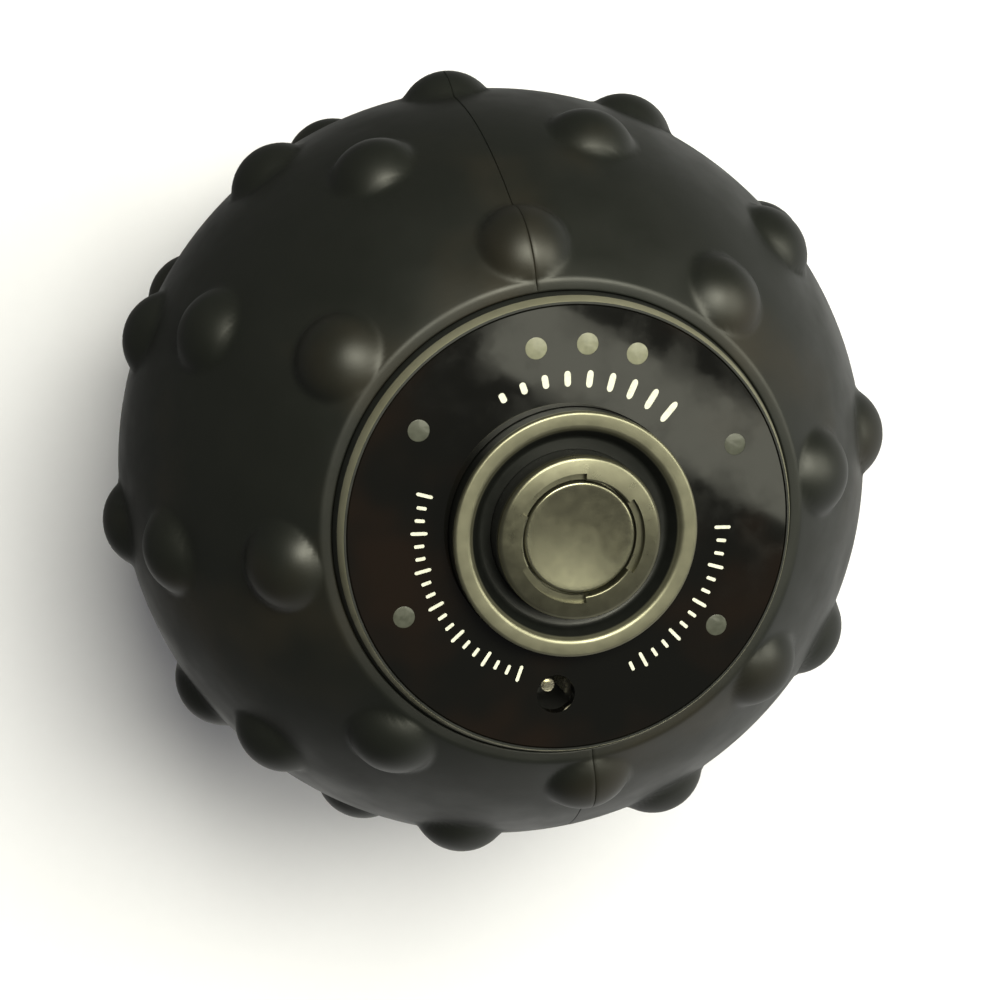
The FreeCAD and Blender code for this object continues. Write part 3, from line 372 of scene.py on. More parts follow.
# ------------------------------------------------------------------ geometry trees

def turned_tree():
    """A whole turned piece from its section."""
    tree = Tree("Turned piece", [("Columns", "Int")])
    turned = revolve(tree, tree["Geometry"], tree["Columns"], 0.0, math.tau)
    return tree.finish(tree.node("GeometryNodeMergeByDistance", turned, None, 1e-6))


BUMP_RINGS = (
    ("First ring", 8, 0.0, 1),
    ("Second ring", 10, 18.0, 1),
    ("Middle ring", 12, 0.0, 1),
    ("Second ring", 10, 18.0, -1),
    ("First ring", 8, 0.0, -1),
    ("Feet", 4, 45.0, -1),
)


def bump_centres(tree):
    """The middles of all the domes: each ring is a circle of points."""
    rings = []
    for title, count, lead, side in BUMP_RINGS:
        tilt = math.pi / 2 if title == "Middle ring" else tree[title]
        radius = tree.math("MULTIPLY", tree["Bump reach"], tree.math("SINE", tilt))
        height = tree.math("MULTIPLY", tree["Bump reach"], tree.math("COSINE", tilt))
        height = tree.math("MULTIPLY", height, float(side))
        ring = tree.node("GeometryNodeMeshCircle", count, radius)
        angle = tree.math("ADD", tree["Seam angle"], math.radians(lead))
        rings.append(tree.shift(ring, tree.combine(0.0, 0.0, height), tree.combine(0.0, 0.0, angle)))
    return tree.join(*rings)


def bump_rise(tree, direction):
    """How far the skin stands out in a direction: a dome, its fillet, or nothing."""
    skin, reach, dome, blend = (
        tree[title] for title in ("Skin radius", "Bump reach", "Bump radius", "Bump fillet"))
    probe = tree.vector("SCALE", direction, None, None, reach)
    gap = tree.node("GeometryNodeProximity", bump_centres(tree), None, probe, output=1,
                    target_element="POINTS")
    half_chord = tree.math("DIVIDE", gap, tree.math("MULTIPLY", reach, 2.0))
    angle = tree.math("MULTIPLY", tree.math("ARCSINE", half_chord), 2.0)

    def square(value):
        return tree.math("MULTIPLY", value, value)

    def circle(centre, radius, offset, sign):
        """Distance from the ball's middle to a circle, seen at an angle off its centre line."""
        across = square(tree.math("MULTIPLY", centre, tree.math("SINE", offset)))
        root = tree.math("SQRT", tree.math("MAXIMUM", tree.math("SUBTRACT", square(radius), across), 0.0))
        near = tree.math("MULTIPLY", centre, tree.math("COSINE", offset))
        return tree.math("MULTIPLY_ADD", root, float(sign), near)

    outer = tree.math("ADD", skin, blend)
    both = tree.math("ADD", dome, blend)
    cosine = tree.math("SUBTRACT", tree.math("ADD", square(outer), square(reach)), square(both))
    cosine = tree.math("DIVIDE", cosine, tree.math("MULTIPLY", tree.math("MULTIPLY", reach, outer), 2.0))
    foot = tree.math("ARCCOSINE", cosine)
    share = tree.math("DIVIDE", dome, both)
    ahead = tree.math("SUBTRACT", tree.math("MULTIPLY", outer, tree.math("COSINE", foot)), reach)
    ahead = tree.math("MULTIPLY_ADD", ahead, share, reach)
    aside = tree.math("MULTIPLY", tree.math("MULTIPLY", outer, tree.math("SINE", foot)), share)
    edge = tree.math("ARCTAN2", aside, ahead)
    on_dome = circle(reach, dome, angle, 1)
    on_blend = circle(outer, blend, tree.math("SUBTRACT", foot, angle), -1)
    surface = tree.pick(tree.math("LESS_THAN", angle, foot), on_blend, skin)
    surface = tree.pick(tree.math("LESS_THAN", angle, edge), on_dome, surface)
    return tree.math("SUBTRACT", surface, skin)


def skin_tree():
    """Half of the bumped skin, closed by flat faces on the seam."""
    lengths = ("Skin radius", "Bump reach", "Bump radius", "Bump fillet", "Seam width", "Seam depth",
               "Lift")
    angles = ("First ring", "Second ring", "Feet", "Seam angle", "Start")
    tree = Tree("Bumped skin", [("Columns", "Int")] + [(title, "Float") for title in lengths + angles])
    section = tree["Geometry"]

    def closer_at_seam(share):
        """The first two steps at each end are narrow, so that the groove has a shape."""
        shrink = 0.15
        steps = tree.math("DIVIDE", 2.0, tree["Columns"])
        narrow = tree.math("MULTIPLY", steps, shrink)
        side = tree.math("SUBTRACT", share, 0.5)
        end = tree.math("SUBTRACT", 0.5, tree.math("ABSOLUTE", side))
        inner = tree.remap(end, steps, 0.5, narrow, 0.5)
        outer = tree.math("MULTIPLY", end, shrink)
        moved = tree.pick(tree.math("LESS_THAN", end, steps), outer, inner)
        moved = tree.math("MULTIPLY", tree.math("SUBTRACT", 0.5, moved), tree.math("SIGN", side))
        return tree.math("ADD", moved, 0.5)

    start = tree["Start"]
    finish = tree.math("ADD", start, math.pi)
    ball = tree.join(revolve(tree, section, tree["Columns"], start, math.pi, closer_at_seam),
                     end_face(tree, section, start), end_face(tree, section, finish))
    direction = tree.vector("NORMALIZE", tree.position)
    distance = tree.vector("LENGTH", tree.position, output=1)
    x, y, _ = tree.split(tree.position)
    seam = tree.math("SUBTRACT", tree.math("MULTIPLY", y, tree.math("COSINE", tree["Seam angle"])),
                     tree.math("MULTIPLY", x, tree.math("SINE", tree["Seam angle"])))
    groove = tree.remap(tree.math("ABSOLUTE", seam), 0.0, tree["Seam width"], tree["Seam depth"], 0.0,
                        smooth=True)
    rise = tree.math("SUBTRACT", bump_rise(tree, direction), groove)
    # only the outer surface is pushed, and the inner one stays on the shell
    outside = tree.remap(distance, tree.math("SUBTRACT", tree["Skin radius"], 1.2 * MM),
                         tree.math("SUBTRACT", tree["Skin radius"], 0.2 * MM), 0.0, 1.0)
    push = tree.vector("SCALE", direction, None, None, tree.math("MULTIPLY", rise, outside))
    moved = tree.move(ball, tree.vector("ADD", tree.position, push))
    lifted = tree.shift(moved, tree.combine(0.0, 0.0, tree["Lift"]))
    return tree.finish(tree.node("GeometryNodeMergeByDistance", lifted, None, 1e-6))


def window_tree():
    """A row of turned windows on a circle; one place in the row may be left out."""
    tree = Tree("Light windows", [("Columns", "Int"), ("Count", "Int"), ("Left out", "Int")]
                + [(title, "Float") for title in ("Circle", "First", "Step")])
    window = revolve(tree, tree["Geometry"], tree["Columns"], 0.0, math.tau)
    window = tree.node("GeometryNodeMergeByDistance", window, None, 1e-6)
    index = tree.node("GeometryNodeInputIndex")
    angle = tree.math("MULTIPLY_ADD", index, tree["Step"], tree["First"])
    row = tree.node("GeometryNodePoints", tree["Count"], on_axis(tree, tree["Circle"], 0.0, angle))
    row = tree.node("GeometryNodeDeleteGeometry", row, tree.math("COMPARE", index, tree["Left out"], 0.5),
                    domain="POINT")
    return tree.finish(tree.node("GeometryNodeInstanceOnPoints", row, None, window))


def mark_tree():
    """Bars along an arc, each pointing at its middle; long ones come at a fixed beat."""
    tree = Tree("Arc of marks", [("Count", "Int"), ("Beat", "Int")]
                + [(title, "Float") for title in ("Radius", "Start", "Sweep", "Short", "Long", "Growth")])
    index = tree.node("GeometryNodeInputIndex")
    share = tree.math("DIVIDE", index, tree.math("SUBTRACT", tree["Count"], 1.0))
    angle = tree.math("MULTIPLY_ADD", share, tree["Sweep"], tree["Start"])
    points = tree.node("GeometryNodePoints", tree["Count"], on_axis(tree, tree["Radius"], 0.0, angle))
    beat = tree.math("LESS_THAN", tree.math("FLOORED_MODULO", index, tree["Beat"]), 0.5)
    size = tree.pick(beat, tree["Long"], tree["Short"])
    size = tree.math("MULTIPLY_ADD", share, tree["Growth"], size)
    bars = tree.node("GeometryNodeInstanceOnPoints", points, None, tree["Geometry"], None, None,
                     tree.combine(0.0, 0.0, angle), tree.combine(size, 1.0, 1.0))
    return tree.finish(bars)


def collar_tree():
    """A turned collar with arc slots cut beside its bore."""
    tree = Tree("Slotted collar", [("Columns", "Int"), ("Count", "Int")] + [
        (title, "Float") for title in ("Bore", "Top", "Slot width", "Slot depth", "Sweep", "First")])
    collar = revolve(tree, tree["Geometry"], tree["Columns"], 0.0, math.tau)
    collar = tree.node("GeometryNodeMergeByDistance", collar, None, 1e-6)
    double = [tree.math("MULTIPLY", tree[title], 2.0) for title in ("Slot width", "Slot depth")]
    square = tree.node("GeometryNodeCurvePrimitiveQuadrilateral", *double)
    square = tree.shift(tree.node("GeometryNodeCurveToMesh", square),
                        tree.combine(tree["Bore"], tree["Top"], 0.0))
    first = tree.math("MULTIPLY", tree["Sweep"], -0.5)
    last = tree.math("MULTIPLY", tree["Sweep"], 0.5)
    cutter = tree.join(revolve(tree, square, 24, first, tree["Sweep"]),
                       end_face(tree, square, first), end_face(tree, square, last))
    cutter = tree.node("GeometryNodeMergeByDistance", cutter, None, 1e-6)
    index = tree.node("GeometryNodeInputIndex")
    step = tree.math("DIVIDE", math.tau, tree["Count"])
    angle = tree.math("MULTIPLY_ADD", index, step, tree["First"])
    points = tree.node("GeometryNodePoints", tree["Count"], tree.combine(0.0, 0.0, 0.0))
    slots = tree.node("GeometryNodeInstanceOnPoints", points, None, cutter, None, None,
                      tree.combine(0.0, 0.0, angle))
    slots = tree.node("GeometryNodeRealizeInstances", slots)
    return tree.finish(tree.node("GeometryNodeMeshBoolean", collar, slots, operation="DIFFERENCE",
                                 solver="EXACT"))


# ------------------------------------------------------------------ finishes

class Finish(Nodes):
    """A material on Object coordinates round one Principled shader."""

    def __init__(self, name, **constants):
        self.material = bpy.data.materials.new(name)
        self.material.use_nodes = True
        super().__init__(self.material.node_tree)
        self.shader = self.tree.nodes["Principled BSDF"]
        for socket, value in constants.items():
            self.shader.inputs[socket.replace("_", " ")].default_value = value
        coordinates = self.tree.nodes.new("ShaderNodeTexCoord")
        self.place = coordinates.outputs["Object"]

    def noise(self, size, detail=2.0, stretch=None):
        """Noise whose features are about size metres across."""
        place = self.place
        if stretch:
            place = self.node("ShaderNodeMapping", place, None, None, stretch)
        made = self.tree.nodes.new("ShaderNodeTexNoise")
        self.feed(made.inputs["Vector"], place)
        made.inputs["Scale"].default_value = 1.0 / size
        made.inputs["Detail"].default_value = detail
        return made.outputs[0]

    def blend(self, share, first, second):
        """Mix two colours; either may be a socket."""
        made = self.tree.nodes.new("ShaderNodeMix")
        made.data_type = "RGBA"
        self.feed(made.inputs[0], share)
        for socket, tone in zip(made.inputs[6:8], (first, second)):
            self.feed(socket, tone if isinstance(tone, bpy.types.NodeSocket) else (*tone, 1.0))
        return made.outputs[2]

    def set(self, socket, value):
        self.feed(self.shader.inputs[socket], value)
        return self

    def bump(self, height, strength, distance):
        made = self.tree.nodes.new("ShaderNodeBump")
        made.inputs["Strength"].default_value = strength
        made.inputs["Distance"].default_value = distance
        self.feed(made.inputs["Height"], height)
        self.tree.links.new(made.outputs[0], self.shader.inputs["Normal"])
        return self


def shade(colour, factor):
    return tuple(min(1.0, channel * factor) for channel in colour)


def rubber(colours):
    """Matt moulded rubber: fine grain, handled patches and a little skin oil."""
    finish = Finish("skin_rubber", Specular_IOR_Level=0.42)
    patches = finish.remap(finish.noise(34 * MM, 3.0), 0.52, 0.72, 0.0, 1.0, smooth=True)
    finish.set("Base Color", finish.blend(patches, colours.rubber, colours.rubber_worn))
    finish.set("Roughness", finish.remap(finish.noise(9 * MM, 4.0), 0.3, 0.7, 0.37, 0.50))
    grain = finish.math("MULTIPLY_ADD", finish.noise(2.4 * MM, 2.0), 0.6, finish.noise(0.32 * MM, 3.0))
    return finish.bump(grain, 0.14, 0.06 * MM).material


def glossy_lens(colours):
    """Polished black panel with faint finger marks, and warmer patches of painted reflection."""
    finish = Finish("panel_gloss", Specular_IOR_Level=0.5)
    # warmer patches here are a painted brownish reflection on the lens
    tint = finish.remap(finish.noise(18 * MM, 2.0), 0.45, 0.7, 0.0, 1.0, smooth=True)
    warm_painted_reflection = (colours.lens[0] * 2.2, colours.lens[1] * 1.4, colours.lens[2] * 1.1)
    finish.set("Base Color", finish.blend(tint, colours.lens, warm_painted_reflection))
    finish.set("Roughness", finish.remap(finish.noise(5 * MM, 5.0), 0.42, 0.75, 0.035, 0.11))
    return finish.bump(finish.noise(14 * MM, 1.0), 0.05, 0.12 * MM).material


def satin_beside_painted_shade(finish, face, inside):
    """1 on the satin surface: above a height and, if one is given, outside a radius. Elsewhere the dark
    colour is painted shade.
    """
    x, y, z = finish.split(finish.place)
    satin_not_painted_shade = finish.remap(z, face - 0.4 * MM, face, 0.0, 1.0, smooth=True)
    if inside is None:
        return satin_not_painted_shade
    radius = finish.math("SQRT", finish.math("ADD", finish.math("MULTIPLY", x, x),
                                             finish.math("MULTIPLY", y, y)))
    edge = finish.remap(radius, inside - 0.5 * MM, inside + 0.3 * MM, 0.0, 1.0, smooth=True)
    return finish.math("MULTIPLY", satin_not_painted_shade, edge)


def satin(name, colours, factor, metal, roughness, face=None, inside=None):
    """Satin plating with fine wear. Below a face's height, and inside a radius, a dark plastic colour is
    painted shade for the button's groove.
    """
    finish = Finish(name, Specular_IOR_Level=0.5)
    base = shade(colours.satin, factor)
    wear = finish.remap(finish.noise(2.5 * MM, 3.0), 0.3, 0.7, 0.0, 1.0)
    tone = finish.blend(wear, base, shade(base, 0.84))
    gloss = finish.remap(finish.noise(1.6 * MM, 2.0), 0.3, 0.7, roughness - 0.03, roughness + 0.04)
    if face is not None:
        satin_not_painted_shade = satin_beside_painted_shade(finish, face, inside)
        # the dark colour below the face's height and inside the radius is painted shade in the groove
        tone = finish.blend(satin_not_painted_shade, shade(colours.dark, 0.6), tone)
        metal = finish.math("MULTIPLY", satin_not_painted_shade, metal)
    finish.set("Base Color", tone).set("Roughness", gloss).set("Metallic", metal)
    return finish.bump(finish.noise(0.5 * MM, 2.0), 0.04, 0.02 * MM).material


def frosted(name, tint):
    """Cloudy diffuser behind a smooth face."""
    finish = Finish(name + "_frosted", Specular_IOR_Level=0.5, Coat_Weight=0.6, Coat_Roughness=0.08)
    cloud = finish.noise(0.8 * MM, 3.0)
    finish.set("Base Color", finish.blend(cloud, shade(tint, 0.7), shade(tint, 1.3)))
    finish.set("Roughness", finish.remap(cloud, 0.3, 0.7, 0.28, 0.45))
    return finish.bump(finish.noise(0.2 * MM), 0.1, 0.02 * MM).material


def printed(colours):
    finish = Finish("printed_white", Specular_IOR_Level=0.3)
    worn = finish.remap(finish.noise(0.5 * MM, 4.0), 0.5, 0.8, 0.0, 1.0)
    finish.set("Base Color", finish.blend(worn, colours.print, shade(colours.print, 0.7)))
    finish.set("Roughness", finish.remap(worn, 0.0, 1.0, 0.45, 0.6))
    return finish.material


def moulded(name, colour, roughness=0.5, grain=0.12, metal=0.0, size=0.5 * MM):
    """A general finish for the parts inside: mottled colour, uneven gloss and a fine grain."""
    finish = Finish(name, Metallic=metal)
    mottle = finish.noise(size * 6, 3.0)
    finish.set("Base Color", finish.blend(mottle, shade(colour, 0.8), shade(colour, 1.2)))
    finish.set("Roughness", finish.remap(mottle, 0.3, 0.7, roughness - 0.07, roughness + 0.07))
    return finish.bump(finish.noise(size, 2.0), grain, 0.05 * MM).material


def brushed(name, colour, roughness=0.3):
    """Drawn, rolled or ground metal with streaks along X."""
    finish = Finish(name, Metallic=1.0)
    streaks = finish.noise(2.0 * MM, 3.0, stretch=(1.0, 14.0, 14.0))
    finish.set("Base Color", finish.blend(streaks, shade(colour, 0.75), shade(colour, 1.1)))
    finish.set("Roughness", finish.remap(streaks, 0.3, 0.7, roughness - 0.08, roughness + 0.1))
    return finish.bump(streaks, 0.06, 0.03 * MM).material


def inner_finishes():
    """One material for each slot of the parts inside the ball."""
    return {
        "shell": moulded("shell_plastic", (0.045, 0.045, 0.045), 0.45),
        "foam": moulded("mask_foam", (0.02, 0.02, 0.02), 0.9, 0.6, size=0.4 * MM),
        "chip": moulded("chip_epoxy", (0.03, 0.03, 0.032), 0.4),
        "board": moulded("board_mask", (0.015, 0.11, 0.045), 0.3, 0.05),
        "screw": brushed("screw_zinc", (0.6, 0.6, 0.62), 0.32),
        "spring_steel": brushed("spring_wire", (0.55, 0.55, 0.56), 0.25),
        "black_plastic": moulded("socket_plastic", (0.014, 0.014, 0.014), 0.4),
        "contact": brushed("contact_plate", (0.75, 0.7, 0.55), 0.25),
        "motor_steel": brushed("motor_can_steel", (0.55, 0.55, 0.56), 0.3),
        "magnet": moulded("magnet_ferrite", (0.06, 0.06, 0.062), 0.6),
        "iron": moulded("sintered_iron", (0.22, 0.21, 0.2), 0.5, 0.3, 0.9),
        "shaft_steel": brushed("shaft_ground", (0.68, 0.68, 0.7), 0.18),
        "bronze": moulded("bush_bronze", (0.45, 0.28, 0.12), 0.4, 0.2, 1.0),
        "inner_rubber": moulded("sleeve_rubber", (0.02, 0.02, 0.02), 0.75, 0.3),
        "cell_wrap": moulded("cell_film", (0.02, 0.12, 0.35), 0.25, 0.04),
        "nickel": brushed("nickel_strip", (0.66, 0.62, 0.56), 0.3),
        "connector": moulded("connector_nylon", (0.75, 0.73, 0.64), 0.45),
        "lead": moulded("lead_insulation", (0.45, 0.02, 0.015), 0.4),
    }


# ------------------------------------------------------------------ operators

class BallOperator(Operator):
    bl_options = {"REGISTER", "UNDO"}

    @staticmethod
    def settings(context):
        return context.scene.massage_ball


class MASSAGEBALL_OT_skin(BallOperator):
    """Two halves of the bumped rubber skin, with a rounded rim and a fine seam"""
    bl_idname = "massageball.skin"
    bl_label = "Rubber skin"

    @staticmethod
    def section(sizes, skin, panel_foot):
        inner_ball = SHELL_RADIUS + sizes.glue
        lip = panel_foot + sizes.rim_gap
        rim = panel_foot + sizes.rim_land
        flat = math.sqrt(skin * skin - rim * rim)
        rim_angle = math.degrees(math.atan2(flat, rim))
        lip_angle = math.degrees(math.acos(lip / inner_ball))
        corners = [(lip, flat, 0.35 * MM), (rim, flat, sizes.rim_round)]
        corners += arc((0, 0), skin, rim_angle - 1.2, -90, sizes.rows)
        corners += arc((0, 0), inner_ball, -90, lip_angle, 36)
        return outline_mesh("skin_section", rounded(corners))

    def execute(self, context):
        ball = self.settings(context)
        sizes = ball.skin
        skin = SHELL_RADIUS + sizes.thickness
        tree = skin_tree()
        material = rubber(ball.colours)
        seam = sizes.seam_turn + math.pi / 2
        for side, start in (("right", seam - math.pi), ("left", seam)):
            section = self.section(sizes, skin, widest("panel_base"))
            half = grow(f"skin_{side}_cover", section, tree, material, 40,
                        Columns=sizes.columns, Skin_radius=skin,
                        Bump_reach=skin + sizes.bump_height - sizes.bump_round,
                        Bump_radius=sizes.bump_round, Bump_fillet=sizes.bump_blend,
                        Seam_width=sizes.seam_width, Seam_depth=sizes.seam_depth, Lift=BALL_CENTRE,
                        First_ring=sizes.ring_one, Second_ring=sizes.ring_two, Feet=sizes.feet,
                        Seam_angle=seam, Start=start)
            settle(half, "ball", "rubber", f"skin_{side}")
        return {"FINISHED"}


class MASSAGEBALL_OT_trim(BallOperator):
    """The thin satin trim on the upper part of the panel base's slanted side"""
    bl_idname = "massageball.trim"
    bl_label = "Trim"

    def execute(self, context):
        ball = self.settings(context)
        sizes = ball.panel
        over = sizes.trim_thickness
        high = widest("panel_base") - sizes.bezel_flare
        low = high + sizes.bezel_flare * sizes.trim_height / sizes.bezel_rise
        under = LENS_TOP - sizes.trim_height
        section = rounded([
            (high - 0.05 * MM, LENS_TOP - 0.3 * MM, 0), (high + over / 2, LENS_TOP, 0.03 * MM),
            (low + over, under, 0.05 * MM), (low - 0.05 * MM, under - 0.02 * MM, 0)], 4)
        trim = grow("satin_trim", outline_mesh("trim_section", section), turned_tree(),
                    satin("trim_satin", ball.colours, 0.75, 0.35, 0.45), Columns=320)
        settle(trim, "ball", "button_plastic")
        return {"FINISHED"}


class MASSAGEBALL_OT_windows(BallOperator):
    """Seven frosted light windows, level with the lens"""
    bl_idname = "massageball.windows"
    bl_label = "Light windows"

    def execute(self, context):
        ball = self.settings(context)
        sizes = ball.panel
        face = LENS_TOP - 0.02 * MM
        section = rounded([(0, LENS_BOTTOM, 0), (sizes.window_radius, LENS_BOTTOM, 0),
                           (sizes.window_radius, face, 0.06 * MM), (0, face + 0.02 * MM, 0)])
        tree = window_tree()
        rows = (
            # name, colour, count, place left out, first angle, step
            ("charge_windows", ball.colours.bright_window, 3, -1, math.pi / 2 - sizes.window_spread,
             sizes.window_spread),
            ("mode_windows", ball.colours.window, 5, 2, math.radians(150), math.radians(60)),
        )
        for name, tint, count, left_out, first, step in rows:
            windows = grow(name, outline_mesh(name + "_section", section), tree, frosted(name, tint),
                           Columns=40, Count=count, Left_out=left_out, Circle=sizes.window_circle,
                           First=first, Step=step)
            settle(windows, "ball", "window", *(["led_windows"] if count == 3 else []))
        return {"FINISHED"}


class MASSAGEBALL_OT_marks(BallOperator):
    """Plain printed bars: a rising scale above the button and two fine scales below it"""
    bl_idname = "massageball.marks"
    bl_label = "Printed marks"

    @staticmethod
    def bar(name, width, lift):
        """A bar 1 mm long on the lens. Its round ends are shallow, because it is stretched later."""
        across, deep = width / 2, width / 4
        outline = []
        for side in (1, -1):
            for k in range(7):
                angle = math.radians(30 * k - 90 * side)
                outline.append((side * (0.5 * MM - deep) + deep * math.cos(angle),
                                across * math.sin(angle)))
        mesh = bpy.data.meshes.new(name)
        shape = bmesh.new()
        face = shape.faces.new([shape.verts.new((x, y, LENS_TOP)) for x, y in outline])
        rise = bmesh.ops.extrude_face_region(shape, geom=[face])["geom"]
        for item in rise:
            if isinstance(item, bmesh.types.BMVert):
                item.co.z += lift
        shape.to_mesh(mesh)
        shape.free()
        return mesh

    def execute(self, context):
        ball = self.settings(context)
        material = printed(ball.colours)
        tree = mark_tree()
        arcs = (
            # name, bar width, count, beat, radius, start, sweep, short, long, growth
            ("level_marks", 0.95, 9, 1, 22.1, 122.0, -68.0, 1.5, 1.5, 2.1),
            ("scale_marks_left", 0.50, 19, 3, 22.3, 169.0, 86.0, 1.5, 2.5, 0.0),
            ("scale_marks_right", 0.50, 14, 3, 22.9, 3.0, -64.0, 1.5, 2.5, 0.0),
        )
        for name, width, count, beat, radius, start, sweep, short, long, growth in arcs:
            marks = grow(name, self.bar(name + "_bar", width * MM, ball.panel.mark_lift), tree, material,
                         Count=count, Beat=beat, Radius=radius * MM, Start=math.radians(start),
                         Sweep=math.radians(sweep), Short=short, Long=long, Growth=growth)
            settle(marks, "ball", "window")
        return {"FINISHED"}


class MASSAGEBALL_OT_button(BallOperator):
    """The outer ring with its groove, the slotted collar and the dished cap"""
    bl_idname = "massageball.button"
    bl_label = "Push button"

    @staticmethod
    def ring(ball, tree, material):
        sizes = ball.button
        flange, high = widest("button_ring"), top("button_ring")
        bore = widest("button_collar") + 0.05 * MM
        outside = flange - RING_FOOT
        inside = outside - sizes.ring_width
        floor = high - sizes.groove_depth
        section = rounded([(bore, BOARD_TOP, 0), (flange, BOARD_TOP, 0), (flange, LENS_BOTTOM, 0),
                           (outside, LENS_BOTTOM, 0), (outside, high, sizes.ring_round),
                           (inside + 0.3 * MM, high - 0.05 * MM, 0.9 * MM),
                           (inside - 1.3 * MM, floor + 0.35 * MM, 1.1 * MM), (bore, floor, 0)], 8)
        piece = grow("button_outer_ring", outline_mesh("ring_section", section), tree, material,
                     Columns=200)
        settle(piece, "ball", "button_plastic", "button_ring")

    @staticmethod
    def collar(ball, material):
        sizes = ball.button
        outside = widest("button_collar")
        high, low = top("button_collar"), bottom("button_collar")
        cap = widest("button_cap") - CAP_FOOT
        bore = cap + sizes.cap_fit
        cavity = outside - 1.4 * MM
        under = high - 2.5 * MM
        section = rounded([(cavity, low, 0), (outside, low, 0),
                           (outside, high - 0.42 * MM, sizes.collar_round),
                           (bore, high, 0.25 * MM), (bore, under, 0), (cavity, under, 0)], 6)
        piece = grow("button_slotted_collar", outline_mesh("collar_section", section), collar_tree(),
                     material, Columns=180, Count=3, Bore=bore, Top=high, Slot_width=sizes.slot_width,
                     Slot_depth=sizes.slot_depth, Sweep=sizes.slot_sweep, First=sizes.slot_first)
        settle(piece, "ball", "button_plastic", "button_collar")

    @staticmethod
    def cap(ball, tree, material):
        sizes = ball.button
        flange, high, low = widest("button_cap"), top("button_cap"), bottom("button_cap")
        radius = flange - CAP_FOOT
        edge = radius - 0.5 * MM
        dish_radius = (edge * edge + sizes.cap_dish ** 2) / (2 * sizes.cap_dish)
        swing = math.degrees(math.asin(edge / dish_radius))
        dish = arc((0, high - sizes.cap_dish + dish_radius), dish_radius, -90 + swing, -90, 12)
        step = low + 1.3 * MM
        corners = [(0, low, 0), (radius, low + 0.3 * MM, 0), (flange, low + 0.3 * MM, 0), (flange, step, 0),
                   (radius, step, 0), (radius, high, 0.4 * MM)]
        section = rounded(corners + dish, 6)
        piece = grow("button_dished_cap", outline_mesh("cap_section", section), tree, material,
                     Columns=128)
        settle(piece, "button", "cap_plastic", "button_cap")

    def execute(self, context):
        ball = self.settings(context)
        sizes = ball.button
        tree = turned_tree()
        # inside this radius the ring's groove is painted dark as shade
        painted_shade_radius = widest("button_ring") - RING_FOOT - sizes.ring_width
        self.ring(ball, tree, satin("ring_satin", ball.colours, 0.8, 0.9, 0.38,
                                    top("button_ring") - 0.6 * MM, painted_shade_radius))
        # the collar's wall more than 1.3 mm below its top is painted dark as shade in the groove
        self.collar(ball, satin("collar_satin", ball.colours, 0.55, 0.9, 0.3,
                                top("button_collar") - 1.3 * MM))
        self.cap(ball, tree, satin("cap_satin", ball.colours, 0.8, 0.9, 0.22))
        return {"FINISHED"}


class MASSAGEBALL_OT_finishes(BallOperator):
    """Finishes of the lens and of every part inside the ball"""
    bl_idname = "massageball.finishes"
    bl_label = "Lens and inner parts"

    def execute(self, context):
        finishes = inner_finishes()
        colours = self.settings(context).colours
        finishes["lens"] = glossy_lens(colours)
        finishes["bezel"] = moulded("base_plastic", colours.dark, 0.42, 0.08)
        slots = {part["node"]: part["material_slot"] for part in frame["record"]["subparts"]}
        for node, piece in frame["nodes"].items():
            if piece.hide_render:
                continue
            piece.data.materials.clear()
            piece.data.materials.append(finishes[slots[node]])
        return {"FINISHED"}


SOFTBOXES = (
    # name, azimuth and elevation in degrees, distance, size, power
    ("overhead", 88, 64, 1.2, (0.7, 0.55), 19),
    ("right_side", 24, 44, 1.5, (0.9, 0.7), 11),
    ("card", 8, 72, 1.2, (0.28, 0.34), 0.8),
    ("reflection_card", -24, 71, 1.2, (0.05, 0.22), 0.08),
)


